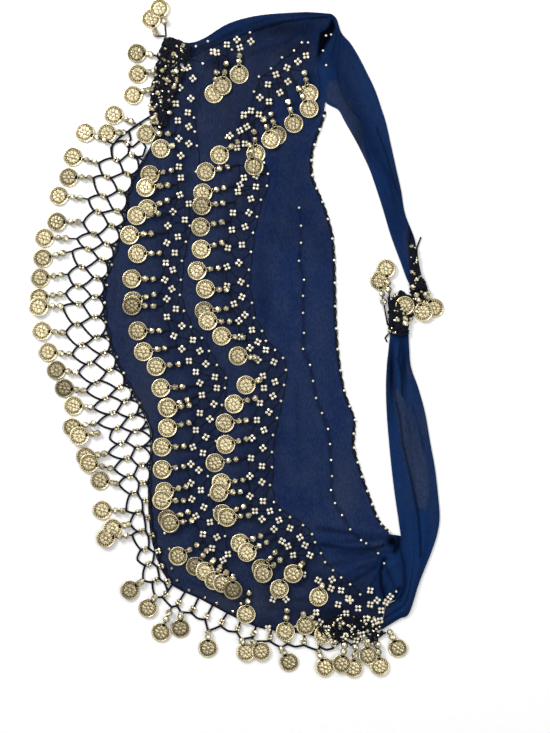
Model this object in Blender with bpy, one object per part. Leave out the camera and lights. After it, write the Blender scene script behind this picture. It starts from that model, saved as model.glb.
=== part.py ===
"""Belly dance hip scarf laid flat: a chiffon panel between two gathered tie tails, with coin trims.

Metres, +Z up. The scarf lies on z = 0 and stands upright in plan: the hem with its crocheted net and
coin fringe is at -X, the waist edge at +X, the folded top at +Y. Tables are in millimetres.
"""

import math

import bmesh
import bpy
from mathutils import Matrix, Vector, geometry
from mathutils.bvhtree import BVHTree

MM = 0.001

# Cloth
CLOTH_WALL = 1.6
SEAM_GAP = 0.7
PANEL_COLUMNS = 22
PANEL_ROWS = 54

# Crochet
NET_THICKNESS = 1.4
NET_PITCH = 20.0
NET_THREAD = 2.6
TWO_ROW_WIDTH = 30.0
NET_EDGE_STEP = 12.0
THREAD_WIDTH = 2.6
THREAD_THICKNESS = 1.2
BAND_HALF_WIDTH = 8.0
PICOT_HEIGHT = 1.4

# Coins and beads
COIN_RADIUS = 10.5
COIN_THICKNESS = 1.3
COIN_POINTS = 9
COIN_NECK = 1.3
BEAD_RADIUS = 2.5
STRAND_HALF_WIDTH = 0.9
ROOT_SPACING = 7.5
PLAIN_SPACING = 18.0
RESTING_CLEARANCE = 0.5
FLOOR_CLEARANCE = 0.4
ROOT_REACH = 7.0
ROOT_ROOM = 14.5
COIN_TURNS = (0, -8, 8, -16, 16, -24, 24)
COIN_STRETCHES = (1.0, 0.9, 1.12)
TURN_COST = 0.1
STRETCH_COST = 6.0
ROOT_COST = 50.0
HIGHEST_COST = 40.0
DISC_MARGIN = 0.4

# Sections across the panel, from the top fold to the gathered corner
# hem x, hem y, waist x, waist y, upward bow of the section
PANEL_SECTIONS = (
    (-49.5, 308, 101, 353, 8),
    (-57, 289, 109, 334, 5),
    (-71.5, 269.5, 98, 312, 2),
    (-76, 250, 91, 300, 0),
    (-82.5, 228, 94.5, 278, 0),
    (-93.5, 206, 99, 258.5, 0),
    (-108, 181.5, 94.5, 236.5, 0),
    (-118, 153, 83.5, 205.5, 0),
    (-122, 126.5, 83.5, 175, 0),
    (-131, 96, 94.5, 148.5, 0),
    (-143, 60.5, 105.5, 112, 0),
    (-143, 21, 108, 68, 0),
    (-133, -19, 109, 21, 0),
    (-120, -47, 112, -21, 0),
    (-104.5, -75, 119, -62.5, 0),
    (-92.5, -104.5, 130, -91, 0),
    (-92.5, -137.5, 128.5, -119, 0),
    (-94.5, -170.5, 136.5, -148.5, 0),
    (-92.5, -210, 146.5, -177, 0),
    (-85, -243, 156, -201, 0),
    (-69, -272, 165, -211, 0),
    (-38.5, -287, 169.5, -216.5, 0),
    (-3, -306, 164, -225.5, 0),
    (30, -320, 159.5, -236.5, 0),
    (71.5, -325.5, 156, -249.5, 0),
    (115.5, -332, 155, -267, 0),
    (144, -327, 159.5, -282.5, 0),
    (159.5, -322, 165, -295, 0),
)

PANEL_ROW_STEP = (len(PANEL_SECTIONS) - 1) / PANEL_ROWS

# Soft folds of the panel: a ridge along a line, or a trough where its height is negative
# start x, start y, end x, end y, half width, height
PANEL_FOLDS = (
    (-40, 300, -70, 190, 9, 1.8),
    (-15, 312, -35, 200, 10, -0.6),
    (20, 330, 0, 250, 9, 1.6),
    (60, 335, 20, 240, 12, 1.8),
    (95, 330, 45, 235, 8, 1.2),
    (80, 260, 60, 120, 13, 1.6),
    (55, 200, 75, 40, 10, 1.0),
    (-90, 180, -125, 60, 10, 1.4),
    (-60, 140, -90, 20, 9, 1.2),
    (-25, 170, -45, 20, 10, 1.3),
    (25, 150, 20, 0, 12, 1.2),
    (95, 110, 100, -60, 10, 1.4),
    (-120, 20, -75, -90, 9, 1.5),
    (-60, -20, -5, -150, 10, 1.4),
    (0, -10, 40, -130, 11, 1.0),
    (60, -20, 75, -160, 12, 1.5),
    (110, -60, 120, -170, 9, 1.4),
    (-80, -110, -75, -230, 9, 1.5),
    (-25, -140, -30, -240, 9, 1.2),
    (165, -224, 85, -200, 6, 2.6),
    (163, -228, 60, -222, 6, 2.2),
    (161, -236, 108, -232, 6, 3.0),
    (159, -246, 104, -248, 6, 2.6),
    (158, -258, 90, -268, 7, 2.8),
    (157, -268, 40, -292, 8, 2.2),
    (158, -280, 75, -306, 7, 2.6),
    (160, -292, 110, -320, 7, 2.4),
    (-40, -265, 20, -305, 8, 1.6),
)

# Net and fringe along the hem, one row for each panel section from FIRST_NET_SECTION on
# net edge x, net edge y, heading of the coins in degrees, distance from the edge to a coin's middle
FIRST_NET_SECTION = 3
NET_SECTIONS = (
    (-91, 247.5, 150, 30),
    (-109, 230, 155, 31),
    (-135, 206, 158, 32),
    (-148.5, 184, 168, 33),
    (-157, 153, 174, 33),
    (-164, 122, 178, 34),
    (-176, 91, 178, 34),
    (-181.5, 52, 180, 34),
    (-186, 23, 180, 32),
    (-176, -16.5, 178, 32),
    (-165, -47, 178, 32),
    (-152, -78, 178, 32),
    (-142, -111, 172, 31),
    (-130, -142, 172, 30),
    (-121, -173, 177, 30),
    (-110, -212, 185, 28),
    (-105.5, -247.5, 205, 26),
    (-87, -280.5, 232, 25),
    (-56, -300, 255, 25),
    (-23, -322, 266, 24),
    (16.5, -330, 285, 23),
    (60.5, -339, 292, 24),
    (110, -341, 285, 24),
)

# Bunched end of the net beside the top of the hem
# panel section beside it, or -1 where free; left x, left y, right x, right y, height
GATHER_SECTIONS = (
    (-1, -73, 344, -68, 334, 2.5),
    (-1, -82.5, 329, -62, 319, 4.5),
    (0, -87, 310, -50.1, 308, 6.0),
    (1, -84.5, 291.5, -57.6, 289, 6.0),
    (2, -90, 274, -72.1, 269.5, 5.0),
    (2.8, -92.5, 255, -75.6, 254, 3.0),
)

# Doubled edge of the top fold
# place along the panel's top from hem to waist, outer x, outer y, height
UPPER_TURN = (
    (0.0, -65, 326.5, 2.4),
    (0.08, -49.5, 323.5, 4.0),
    (0.15, -33, 329, 5.0),
    (0.3, -7.5, 344.5, 6.0),
    (0.5, 23, 353, 6.0),
    (0.75, 60.5, 356.5, 5.5),
    (1.0, 102, 358, 5.0),
)

# Upper tie tail from the fold to its tip; the first TAIL_SEAM_ROWS rows lie along the panel
# panel section beside it, left x, left y, right x, right y, height
TAIL_SEAM_ROWS = 7
UPPER_TAIL = (
    (0.05, 103.8, 352.6, 105.2, 357.4, 5.0),
    (0.3, 108, 348, 112.5, 350.5, 5.0),
    (1.0, 109.6, 334, 117, 334.5, 6.0),
    (2.0, 98.6, 312, 126.5, 323.5, 6.5),
    (3.0, 91.6, 300, 135.5, 309, 6.5),
    (4.0, 95.1, 278, 145, 290.5, 6.0),
    (5.0, 99.6, 258.5, 154, 271.5, 5.5),
    (5.0, 113.5, 249.5, 161.5, 249.5, 5.5),
    (5.0, 121, 236.5, 166, 235.5, 5.5),
    (5.0, 134, 213.5, 171.5, 211, 5.5),
    (5.0, 146, 189, 177, 186, 6.0),
    (5.0, 153, 170.5, 182.5, 161.5, 6.0),
    (5.0, 163, 139.5, 187, 135.5, 6.0),
    (5.0, 171.5, 111, 197, 109, 6.0),
    (5.0, 181.5, 84, 201.5, 86, 5.5),
    (5.0, 188.5, 65, 205.5, 67, 5.0),
    (5.0, 194.5, 53, 212, 52, 4.5),
)

# Gathered corner between the panel and the lower tail
# panel section beside it, right x, right y, height
LOWER_TURN = (
    (21.0, 179.5, -219, 4.0),
    (22.0, 181.5, -228, 6.0),
    (23.0, 183, -238, 7.0),
    (24.0, 184.5, -251, 7.5),
    (25.0, 184, -267, 7.0),
    (26.0, 181, -278.5, 6.0),
    (26.8, 174, -287.5, 4.5),
)

# Lower tie tail from the gathered corner up to its tip
# left x, left y, right x, right y, height
LOWER_TAIL = (
    (165.8, -295.3, 160.4, -322.3, 5.0),
    (179, -288, 180.5, -310, 6.5),
    (185.5, -278.5, 191.5, -303.5, 7.0),
    (187.5, -258.5, 202.5, -270.5, 7.0),
    (186, -236.5, 215.5, -237.5, 6.5),
    (182.5, -219, 222, -218, 6.0),
    (179.5, -199, 225, -199, 6.0),
    (176, -175, 223.5, -176, 6.0),
    (172.5, -147, 220, -145.5, 6.0),
    (169.5, -117, 214.5, -115, 6.0),
    (167, -86, 209, -83.5, 6.0),
    (166, -56, 201.5, -56, 6.0),
    (167, -31, 193.5, -33, 5.5),
    (169, -12, 191.5, -11, 5.0),
    (170.5, 10, 190.5, 10, 4.5),
)

# Bands on the panel: middle x, middle y, heading of the coins in degrees, distance to a coin's middle,
# which is 0 where no coins hang
OUTER_BAND = (
    (-53, 303, 180, 0),
    (-55, 261, 180, 0),
    (-57, 222, 184, 40),
    (-58, 189, 190, 38),
    (-53, 156, 186, 45),
    (-59, 126.5, 183, 45),
    (-70, 93.5, 180, 40),
    (-72.5, 57, 181, 39),
    (-68, 25, 183, 40),
    (-55, -5.5, 184, 41),
    (-35, -36, 184, 43),
    (-30, -63, 184, 43),
    (-37, -100, 182, 39),
    (-43, -135, 180, 37),
    (-43, -170.5, 180, 35),
    (-35, -203.5, 193, 35),
    (-17.5, -234, 226, 33),
    (11, -261, 256, 31),
    (49.5, -283, 268, 30),
    (91, -298, 274, 27),
)
INNER_BAND = (
    (14, 190, 190, 48),
    (14, 164, 184, 48),
    (6.5, 136.5, 182, 43),
    (1, 109, 180, 40),
    (-1, 78, 180, 40),
    (3, 47, 182, 40),
    (13, 16.5, 184, 42),
    (27.5, -10, 188, 36),
    (37.5, -38.5, 188, 33),
    (35, -65, 188, 38),
    (27.5, -96, 184, 38),
    (23, -129, 182, 38),
    (24, -164, 182, 39),
    (32, -192.5, 190, 42),
    (53, -214.5, 212, 46),
    (72.5, -231, 222, 48),
    (91, -252, 235, 42),
    (113, -274, 250, 34),
)
DIAGONAL_BAND = (
    (76, 304, 285, 38),
    (54, 285, 300, 40),
    (30, 261, 300, 39),
    (10, 239, 278, 40),
    (-4, 216, 250, 34),
)
TOP_BAND = (
    (-30, 309, 268, 44),
    (-9, 318, 270, 44),
    (18, 323, 270, 42),
)

# Middles of the coins as the photograph shows them: pixels across and down
PIXEL_SIZE = 1.1
PIXEL_ZERO_ACROSS = 235
PIXEL_ZERO_DOWN = 337
OUTER_COINS = (
    (143, 134),
    (161, 149),
    (150, 175),
    (146, 188),
    (145, 200),
    (137, 216),
    (134, 235),
    (135, 254),
    (132, 279),
    (132, 293),
    (132, 306),
    (138, 331),
    (143, 347),
    (156, 362),
    (161, 388),
    (165, 398),
    (168, 408),
    (167, 424),
    (162, 447),
    (162, 466),
    (164, 485),
    (162, 500),
    (166, 512),
    (170, 523),
    (178, 556),
    (191, 562),
    (205, 571),
    (214, 580),
    (226, 582),
    (233, 589),
    (246, 614),
    (286, 613),
    (285, 634),
    (310, 622),
    (322, 632),
)
INNER_COINS = (
    (206, 172),
    (202, 188),
    (202, 206),
    (200, 223),
    (200, 242),
    (197, 267),
    (203, 289),
    (204, 307),
    (208, 321),
    (219, 336),
    (238, 356),
    (252, 375),
    (246, 385),
    (234, 404),
    (225, 423),
    (225, 441),
    (218, 458),
    (221, 479),
    (219, 492),
    (221, 505),
    (227, 517),
    (240, 543),
    (247, 552),
    (255, 561),
    (263, 573),
    (271, 582),
    (293, 573),
    (317, 572),
    (318, 598),
)
DIAGONAL_COINS = (
    (300, 68),
    (309, 94),
    (309, 109),
    (303, 120),
    (280, 131),
    (271, 140),
    (256, 154),
    (240, 163),
    (223, 163),
)
TOP_COINS = (
    (214, 94),
    (223, 83),
    (236, 77),
)
HEM_COINS = (
    (114, 115),
    (109, 131),
    (88, 134),
    (73, 157),
    (69, 174),
    (59, 196),
    (57, 222),
    (48, 238),
    (42, 250),
    (40, 274),
    (39, 294),
    (39, 307),
    (42, 331),
    (48, 352),
    (54, 370),
    (62, 388),
    (74, 403),
    (72, 420),
    (80, 427),
    (86, 447),
    (92, 464),
    (98, 480),
    (102, 510),
    (112, 523),
    (106, 538),
    (140, 576),
    (130, 590),
    (148, 608),
    (161, 632),
    (178, 628),
    (196, 630),
    (208, 648),
    (246, 652),
    (260, 650),
    (289, 662),
    (325, 667),
)

# Drops on the bunched end of the net, below the gathered corner and on the tie tips
# root x, root y, coin x, coin y
GATHER_DROPS = (
    (-76, 345, -83, 361),
    (-85.4, 330, -92, 350),
    (-88.9, 310, -108, 312),
    (-87.2, 291.5, -107, 289),
    (-92.6, 272, -112, 266),
)
CORNER_DROPS = (
    (121, -335, 117, -359),
    (133, -333.5, 134, -361),
    (145, -331, 151, -349),
    (156, -327.5, 159, -362),
    (169, -321, 179, -342),
)
UPPER_TIP_DROPS = (
    (198, 50, 207, 27.5),
    (208, 50, 219, 32),
)
LOWER_TIP_DROPS = (
    (168, 12, 159, 62),
    (174, 12, 166, 75),
    (187, 12, 186.5, 32),
)


def smooth(rows, place):
    """Columns of a table at a fractional row, on a smooth curve through all rows."""
    last = len(rows) - 1
    place = min(max(place, 0.0), float(last))
    index = min(int(place), last - 1)
    t = place - index
    before = rows[max(index - 1, 0)]
    after = rows[min(index + 2, last)]
    values = []
    for p0, p1, p2, p3 in zip(before, rows[index], rows[index + 1], after):
        slope_1 = (p2 - p0) / 2
        slope_2 = (p3 - p1) / 2
        start = p1 * (2 * t**3 - 3 * t**2 + 1) + slope_1 * (t**3 - 2 * t**2 + t)
        end = p2 * (3 * t**2 - 2 * t**3) + slope_2 * (t**3 - t**2)
        values.append(start + end)
    return values


def panel_point(across, section):
    """Plan point of the panel, from the hem (0) to the waist edge (1), at a fractional section."""
    hem_x, hem_y, waist_x, waist_y, bow = smooth(PANEL_SECTIONS, section)
    lift = bow * 4 * across * (1 - across)
    return hem_x + (waist_x - hem_x) * across, hem_y + (waist_y - hem_y) * across + lift


def panel_edge(across, section):
    """Plan point on the panel's hem (0) or waist edge (1), on the straight run between two of its rows."""
    row = section / PANEL_ROW_STEP
    index = min(int(row), PANEL_ROWS - 1)
    x0, y0 = panel_point(across, index * PANEL_ROW_STEP)
    x1, y1 = panel_point(across, (index + 1) * PANEL_ROW_STEP)
    return x0 + (x1 - x0) * (row - index), y0 + (y1 - y0) * (row - index)


def fold_height(x, y, folds):
    """Height that soft ridges add at a plan point; each dies away towards its ends."""
    total = 0.0
    for x0, y0, x1, y1, half_width, height in folds:
        length = math.hypot(x1 - x0, y1 - y0)
        along = ((x - x0) * (x1 - x0) + (y - y0) * (y1 - y0)) / length**2
        away = ((x - x0) * (y1 - y0) - (y - y0) * (x1 - x0)) / length
        if -0.1 < along < 1.1:
            ends = math.sin(math.pi * (along + 0.1) / 1.2)
            total += height * ends * math.exp(-((away / half_width) ** 2))
    return total


def panel_top(x, y):
    return max(CLOTH_WALL + fold_height(x, y, PANEL_FOLDS), 1.0)


def material(name, colour, roughness, metallic):
    """Plain finish with the piece's own colour."""
    finish = bpy.data.materials.new(name)
    finish.use_nodes = True
    shader = finish.node_tree.nodes["Principled BSDF"]
    shader.inputs["Base Color"].default_value = (*colour, 1.0)
    shader.inputs["Roughness"].default_value = roughness
    shader.inputs["Metallic"].default_value = metallic
    finish.diffuse_color = (*colour, 1.0)
    return finish


def add_object(name, shape, finish):
    """Turns a millimetre bmesh into a named object in metres with its faces pointing out."""
    bmesh.ops.recalc_face_normals(shape, faces=shape.faces[:])
    if shape.calc_volume(signed=True) < 0:
        bmesh.ops.reverse_faces(shape, faces=shape.faces[:])
    bmesh.ops.scale(shape, vec=(MM, MM, MM), verts=shape.verts[:])
    mesh = bpy.data.meshes.new(name)
    shape.to_mesh(mesh)
    shape.free()
    mesh.materials.append(finish)
    thing = bpy.data.objects.new(name, mesh)
    bpy.context.scene.collection.objects.link(thing)
    return thing


def laid_cloth(name, grid, finish):
    """Closed cloth solid from rows of top points, with a flat underside on the floor."""
    shape = bmesh.new()
    top = [[shape.verts.new(point) for point in row] for row in grid]
    for upper, lower in zip(top, top[1:]):
        for i in range(len(upper) - 1):
            shape.faces.new((upper[i], upper[i + 1], lower[i + 1], lower[i]))
    rim = top[0] + [row[-1] for row in top[1:]] + top[-1][-2::-1] + [row[0] for row in top[-2:0:-1]]
    under = [shape.verts.new((vert.co.x, vert.co.y, 0.0)) for vert in rim]
    count = len(rim)
    for i in range(count):
        j = (i + 1) % count
        shape.faces.new((rim[i], rim[j], under[j], under[i]))
    shape.faces.new(under)
    return add_object(name, shape, finish)


def rounded(across, ridges, phase):
    """Cross-section of gathered cloth: low at both edges, round between, with soft ridges."""
    round_part = math.sin(math.pi * min(max(across, 0.0), 1.0)) ** 0.55
    ridge_part = 0.78 + 0.22 * math.cos(2 * math.pi * (ridges * across + phase))
    return round_part * ridge_part


def gathered_grid(edges, count, columns, ridges):
    """Top points between two edges; edges(place) gives left, right and height for place 0 to 1."""
    grid = []
    for k in range(count + 1):
        place = k / count
        (left_x, left_y), (right_x, right_y), height = edges(place)
        row = []
        for i in range(columns + 1):
            across = i / columns
            rise = (height - CLOTH_WALL) * rounded(across, ridges, 0.35 * math.sin(5 * place))
            x = left_x + (right_x - left_x) * across
            y = left_y + (right_y - left_y) * across
            row.append((x, y, CLOTH_WALL + rise))
        grid.append(row)
    return grid


def make_panel(finish):
    grid = []
    for k in range(PANEL_ROWS + 1):
        section = k * PANEL_ROW_STEP
        row = []
        for i in range(PANEL_COLUMNS + 1):
            x, y = panel_point(i / PANEL_COLUMNS, section)
            row.append((x, y, panel_top(x, y)))
        grid.append(row)
    return laid_cloth("panel", grid, finish)


def make_upper_turn(finish):
    def edges(place):
        across, outer_x, outer_y, height = smooth(UPPER_TURN, place * (len(UPPER_TURN) - 1))
        x, y = panel_point(across, 0)
        return (x, y + SEAM_GAP), (outer_x, outer_y), height

    return laid_cloth("upper_turn", gathered_grid(edges, 20, 6, 1.5), finish)


def make_upper_tail(finish):
    def edges(place):
        row = place * (len(UPPER_TAIL) - 1)
        section, left_x, left_y, right_x, right_y, height = smooth(UPPER_TAIL, row)
        if row < TAIL_SEAM_ROWS - 1:
            index = int(row)
            start = UPPER_TAIL[index][0]
            section = start + (UPPER_TAIL[index + 1][0] - start) * (row - index)
            x, y = panel_edge(1, section)
            left_x, left_y = x + SEAM_GAP, y
        return (left_x, left_y), (right_x, right_y), height

    return laid_cloth("upper_tail", gathered_grid(edges, 32, 8, 2.5), finish)


def make_lower_turn(finish):
    def edges(place):
        section, right_x, right_y, height = smooth(LOWER_TURN, place * (len(LOWER_TURN) - 1))
        x, y = panel_edge(1, section)
        return (x + SEAM_GAP, y), (right_x, right_y), height

    return laid_cloth("lower_turn", gathered_grid(edges, 12, 6, 1.5), finish)


def make_lower_tail(finish):
    def edges(place):
        left_x, left_y, right_x, right_y, height = smooth(LOWER_TAIL, place * (len(LOWER_TAIL) - 1))
        return (left_x, left_y), (right_x, right_y), height

    return laid_cloth("lower_tail", gathered_grid(edges, 28, 8, 2.5), finish)


def make_net_gather(finish):
    def edges(place):
        row = place * (len(GATHER_SECTIONS) - 1)
        _, left_x, left_y, right_x, right_y, height = smooth(GATHER_SECTIONS, row)
        if row > 2:
            index = min(int(row), len(GATHER_SECTIONS) - 2)
            start = GATHER_SECTIONS[index][0]
            section = start + (GATHER_SECTIONS[index + 1][0] - start) * (row - index)
            x, y = panel_edge(0, section)
            right_x, right_y = x - SEAM_GAP, y
        return (left_x, left_y), (right_x, right_y), height

    return laid_cloth("net_gather", gathered_grid(edges, 10, 6, 2.0), finish)


def net_place(section, across):
    """Plan point of the hem net, from the cloth (0) to its outer edge (1)."""
    net_x, net_y, _, _ = smooth(NET_SECTIONS, section - FIRST_NET_SECTION)
    hem_x, hem_y = panel_edge(0, section)
    width = math.hypot(net_x - hem_x, net_y - hem_y)
    start_x = hem_x + (net_x - hem_x) * SEAM_GAP / width
    start_y = hem_y + (net_y - hem_y) * SEAM_GAP / width
    return start_x + (net_x - start_x) * across, start_y + (net_y - start_y) * across


def net_width(section):
    inner = net_place(section, 0)
    outer = net_place(section, 1)
    return math.dist(inner, outer)


def net_stations(step, across):
    """Sections at even steps along the net, measured at one place across it."""
    first = FIRST_NET_SECTION
    last = first + len(NET_SECTIONS) - 1
    samples = 20 * (last - first)
    stations = [float(first)]
    travelled = 0.0
    before = net_place(first, across)
    for k in range(1, samples + 1):
        section = first + (last - first) * k / samples
        point = net_place(section, across)
        travelled += math.dist(before, point)
        before = point
        if travelled >= step:
            stations.append(section)
            travelled -= step
    return stations


def net_cells():
    """Six-sided gaps in one or two staggered rows, as loops of plan points."""
    cells = []
    stations = net_stations(NET_PITCH / 2, 0.6)
    thread = NET_THREAD / NET_PITCH
    for k in range(1, len(stations) - 1):
        before, here, after = stations[k - 1], stations[k], stations[k + 1]
        width = net_width(here)
        if width < TWO_ROW_WIDTH:
            rows = ((0.5, 0.5 - NET_THREAD / width),) if k % 2 else ()
        elif k % 2:
            rows = ((0.72, 0.23),)
        else:
            rows = ((0.31, 0.22),)
        for middle, half in rows:
            left = here + (before - here) * (1 - thread)
            right = here + (after - here) * (1 - thread)
            loop = (
                (here, middle - half),
                (right, middle - half / 2),
                (right, middle + half / 2),
                (here, middle + half),
                (left, middle + half / 2),
                (left, middle - half / 2),
            )
            cells.append([net_place(*place) for place in loop])
    return cells


def inside(point, loop):
    """Whether a plan point lies within a closed loop."""
    x, y = point
    odd = False
    for (x0, y0), (x1, y1) in zip(loop, loop[1:] + loop[:1]):
        if (y0 > y) != (y1 > y) and x < x0 + (y - y0) * (x1 - x0) / (y1 - y0):
            odd = not odd
    return odd


def make_hem_net(finish):
    """Flat crocheted net, its cells cut through."""
    last = FIRST_NET_SECTION + len(NET_SECTIONS) - 1
    count = int((last - FIRST_NET_SECTION) / PANEL_ROW_STEP)
    outline = [net_place(FIRST_NET_SECTION + k * PANEL_ROW_STEP, 0) for k in range(count + 1)]
    outline.append(net_place(last, 1))
    outline += [net_place(section, 1) for section in reversed(net_stations(NET_EDGE_STEP, 1.0))]
    loops = [outline] + net_cells()
    points = []
    edges = []
    for loop in loops:
        start = len(points)
        points.extend(Vector(point) for point in loop)
        edges.extend((start + i, start + (i + 1) % len(loop)) for i in range(len(loop)))
    flat, _, faces, _, _, _ = geometry.delaunay_2d_cdt(points, edges, [], 0, 1e-5)
    shape = bmesh.new()
    lower = [shape.verts.new((point.x, point.y, 0.0)) for point in flat]
    upper = [shape.verts.new((point.x, point.y, NET_THICKNESS)) for point in flat]
    for face in faces:
        middle = sum((flat[i] for i in face), Vector((0.0, 0.0))) / len(face)
        if inside(middle, loops[0]) and not any(inside(middle, loop) for loop in loops[1:]):
            shape.faces.new([upper[i] for i in face])
            shape.faces.new([lower[i] for i in reversed(face)])
    for edge in [edge for edge in shape.edges if edge.is_boundary and edge.verts[0].co.z > 0]:
        i = upper.index(edge.verts[0])
        j = upper.index(edge.verts[1])
        shape.faces.new((upper[i], upper[j], lower[j], lower[i]))
    loose = [vert for vert in shape.verts if not vert.link_faces]
    bmesh.ops.delete(shape, geom=loose, context="VERTS")
    return add_object("hem_net", shape, finish)


class Ground:
    """What lies under the trims: the cloth, and the threads, beads and coins placed so far."""

    def __init__(self, things):
        self.trees = []
        for thing in things:
            shape = bmesh.new()
            shape.from_mesh(thing.data)
            self.trees.append(BVHTree.FromBMesh(shape))
            shape.free()
        self.discs = []
        self.roots = []

    def cloth_height(self, x, y):
        height = 0.0
        for tree in self.trees:
            hit = tree.ray_cast(Vector((x * MM, y * MM, 1.0)), Vector((0.0, 0.0, -1.0)))[0]
            if hit is not None:
                height = max(height, hit.z / MM)
        return height

    def height(self, x, y, radius, root=None):
        """Lowest height at which a disc clears the cloth and everything placed, but for its own root."""
        found = self.cloth_height(x, y)
        for share in (0.5, 1.0):
            for k in range(12):
                turn = 2 * math.pi * k / 12
                rim_x = x + share * radius * math.cos(turn)
                rim_y = y + share * radius * math.sin(turn)
                found = max(found, self.cloth_height(rim_x, rim_y))
        clear = found + (RESTING_CLEARANCE if found > 0 else FLOOR_CLEARANCE)
        for disc_x, disc_y, disc_radius, top in self.discs:
            own = root and math.dist(root, (disc_x, disc_y)) < ROOT_REACH
            if own and disc_radius < COIN_RADIUS:
                continue
            if math.hypot(x - disc_x, y - disc_y) < radius + disc_radius + DISC_MARGIN:
                clear = max(clear, top + RESTING_CLEARANCE)
        return clear

    def settle(self, root, coin):
        """Place near the given one where a coin hung from a root lies lowest, with that height."""
        heading = math.atan2(coin[1] - root[1], coin[0] - root[0])
        reach = math.dist(root, coin)
        best = None
        for stretch in COIN_STRETCHES:
            for turn in COIN_TURNS:
                angle = heading + math.radians(turn)
                x = root[0] + reach * stretch * math.cos(angle)
                y = root[1] + reach * stretch * math.sin(angle)
                low = self.height(x, y, COIN_RADIUS, root)
                others = [other for other in self.roots if math.dist(other, root) > 1]
                covered = sum(1 for other in others if math.dist(other, (x, y)) < ROOT_ROOM)
                cost = low + TURN_COST * abs(turn) + STRETCH_COST * abs(stretch - 1) + ROOT_COST * covered
                if best is None or cost < best[0]:
                    best = (cost, x, y, low)
        return best

    def place_run(self, start, end, radius):
        """Marks the room of a straight thread between two places: x, y and top of each."""
        steps = max(int(math.dist(start[:2], end[:2]) / 3.0), 1)
        for k in range(steps + 1):
            share = k / steps
            self.discs.append(
                (
                    start[0] + (end[0] - start[0]) * share,
                    start[1] + (end[1] - start[1]) * share,
                    radius,
                    start[2] + (end[2] - start[2]) * share,
                )
            )


def new_ring(shape, place, low, high, side, half_width):
    """Four corners of a thread: first its outer side, low then high, then its inner side."""
    x, y = place
    return [
        shape.verts.new((x + side[0] * half_width, y + side[1] * half_width, low)),
        shape.verts.new((x + side[0] * half_width, y + side[1] * half_width, high)),
        shape.verts.new((x - side[0] * half_width, y - side[1] * half_width, high)),
        shape.verts.new((x - side[0] * half_width, y - side[1] * half_width, low)),
    ]


def join_rings(shape, first, second, open_outer=False):
    for i in range(4):
        j = (i + 1) % 4
        if i == 0 and open_outer:
            continue
        shape.faces.new((first[i], first[j], second[j], second[i]))


def between(start, end, share):
    return start[0] + (end[0] - start[0]) * share, start[1] + (end[1] - start[1]) * share


class Trim:
    """Thread with coin drops; a station is x, y, side, half length of its root, and a coin or None."""

    def __init__(self, name, stations, beads, ground):
        self.name = name
        self.beads = beads
        self.shape = bmesh.new()
        self.roots = []
        places = []
        for x, y, side, root, coin in stations:
            tangent = (side[1] * root, -side[0] * root)
            if coin is None:
                places.append(((x, y), side, None))
            else:
                places.append(((x - tangent[0], y - tangent[1]), side, None))
                places.append(((x + tangent[0], y + tangent[1]), side, coin))
        needed = [ground.height(*place, THREAD_WIDTH / 2) for place, _, _ in places]
        lows = list(needed)
        for i in range(len(places) - 1):
            for share in (0.25, 0.5, 0.75):
                here = between(places[i][0], places[i + 1][0], share)
                room = ground.height(*here, THREAD_WIDTH / 2)
                lows[i] = max(lows[i], room)
                lows[i + 1] = max(lows[i + 1], room)
        rings = []
        for (place, side, _), low in zip(places, lows):
            rings.append(new_ring(self.shape, place, low, low + THREAD_THICKNESS, side, THREAD_WIDTH / 2))
        for i in range(len(rings) - 1):
            coin = places[i + 1][2]
            join_rings(self.shape, rings[i], rings[i + 1], open_outer=coin is not None)
            start = (*places[i][0], lows[i] + THREAD_THICKNESS)
            end = (*places[i + 1][0], lows[i + 1] + THREAD_THICKNESS)
            ground.place_run(start, end, THREAD_WIDTH / 2)
            if coin is not None:
                self.roots.append((rings[i], rings[i + 1], coin))
                ground.roots.append(between(places[i][0], places[i + 1][0], 0.5))
        self.shape.faces.new(rings[0])
        self.shape.faces.new(rings[-1])

    def finish(self, ground, finish):
        for first, second, coin in self.roots:
            add_drop(self.shape, ground, first, second, coin, self.beads)
        return add_object(self.name, self.shape, finish)


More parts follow.
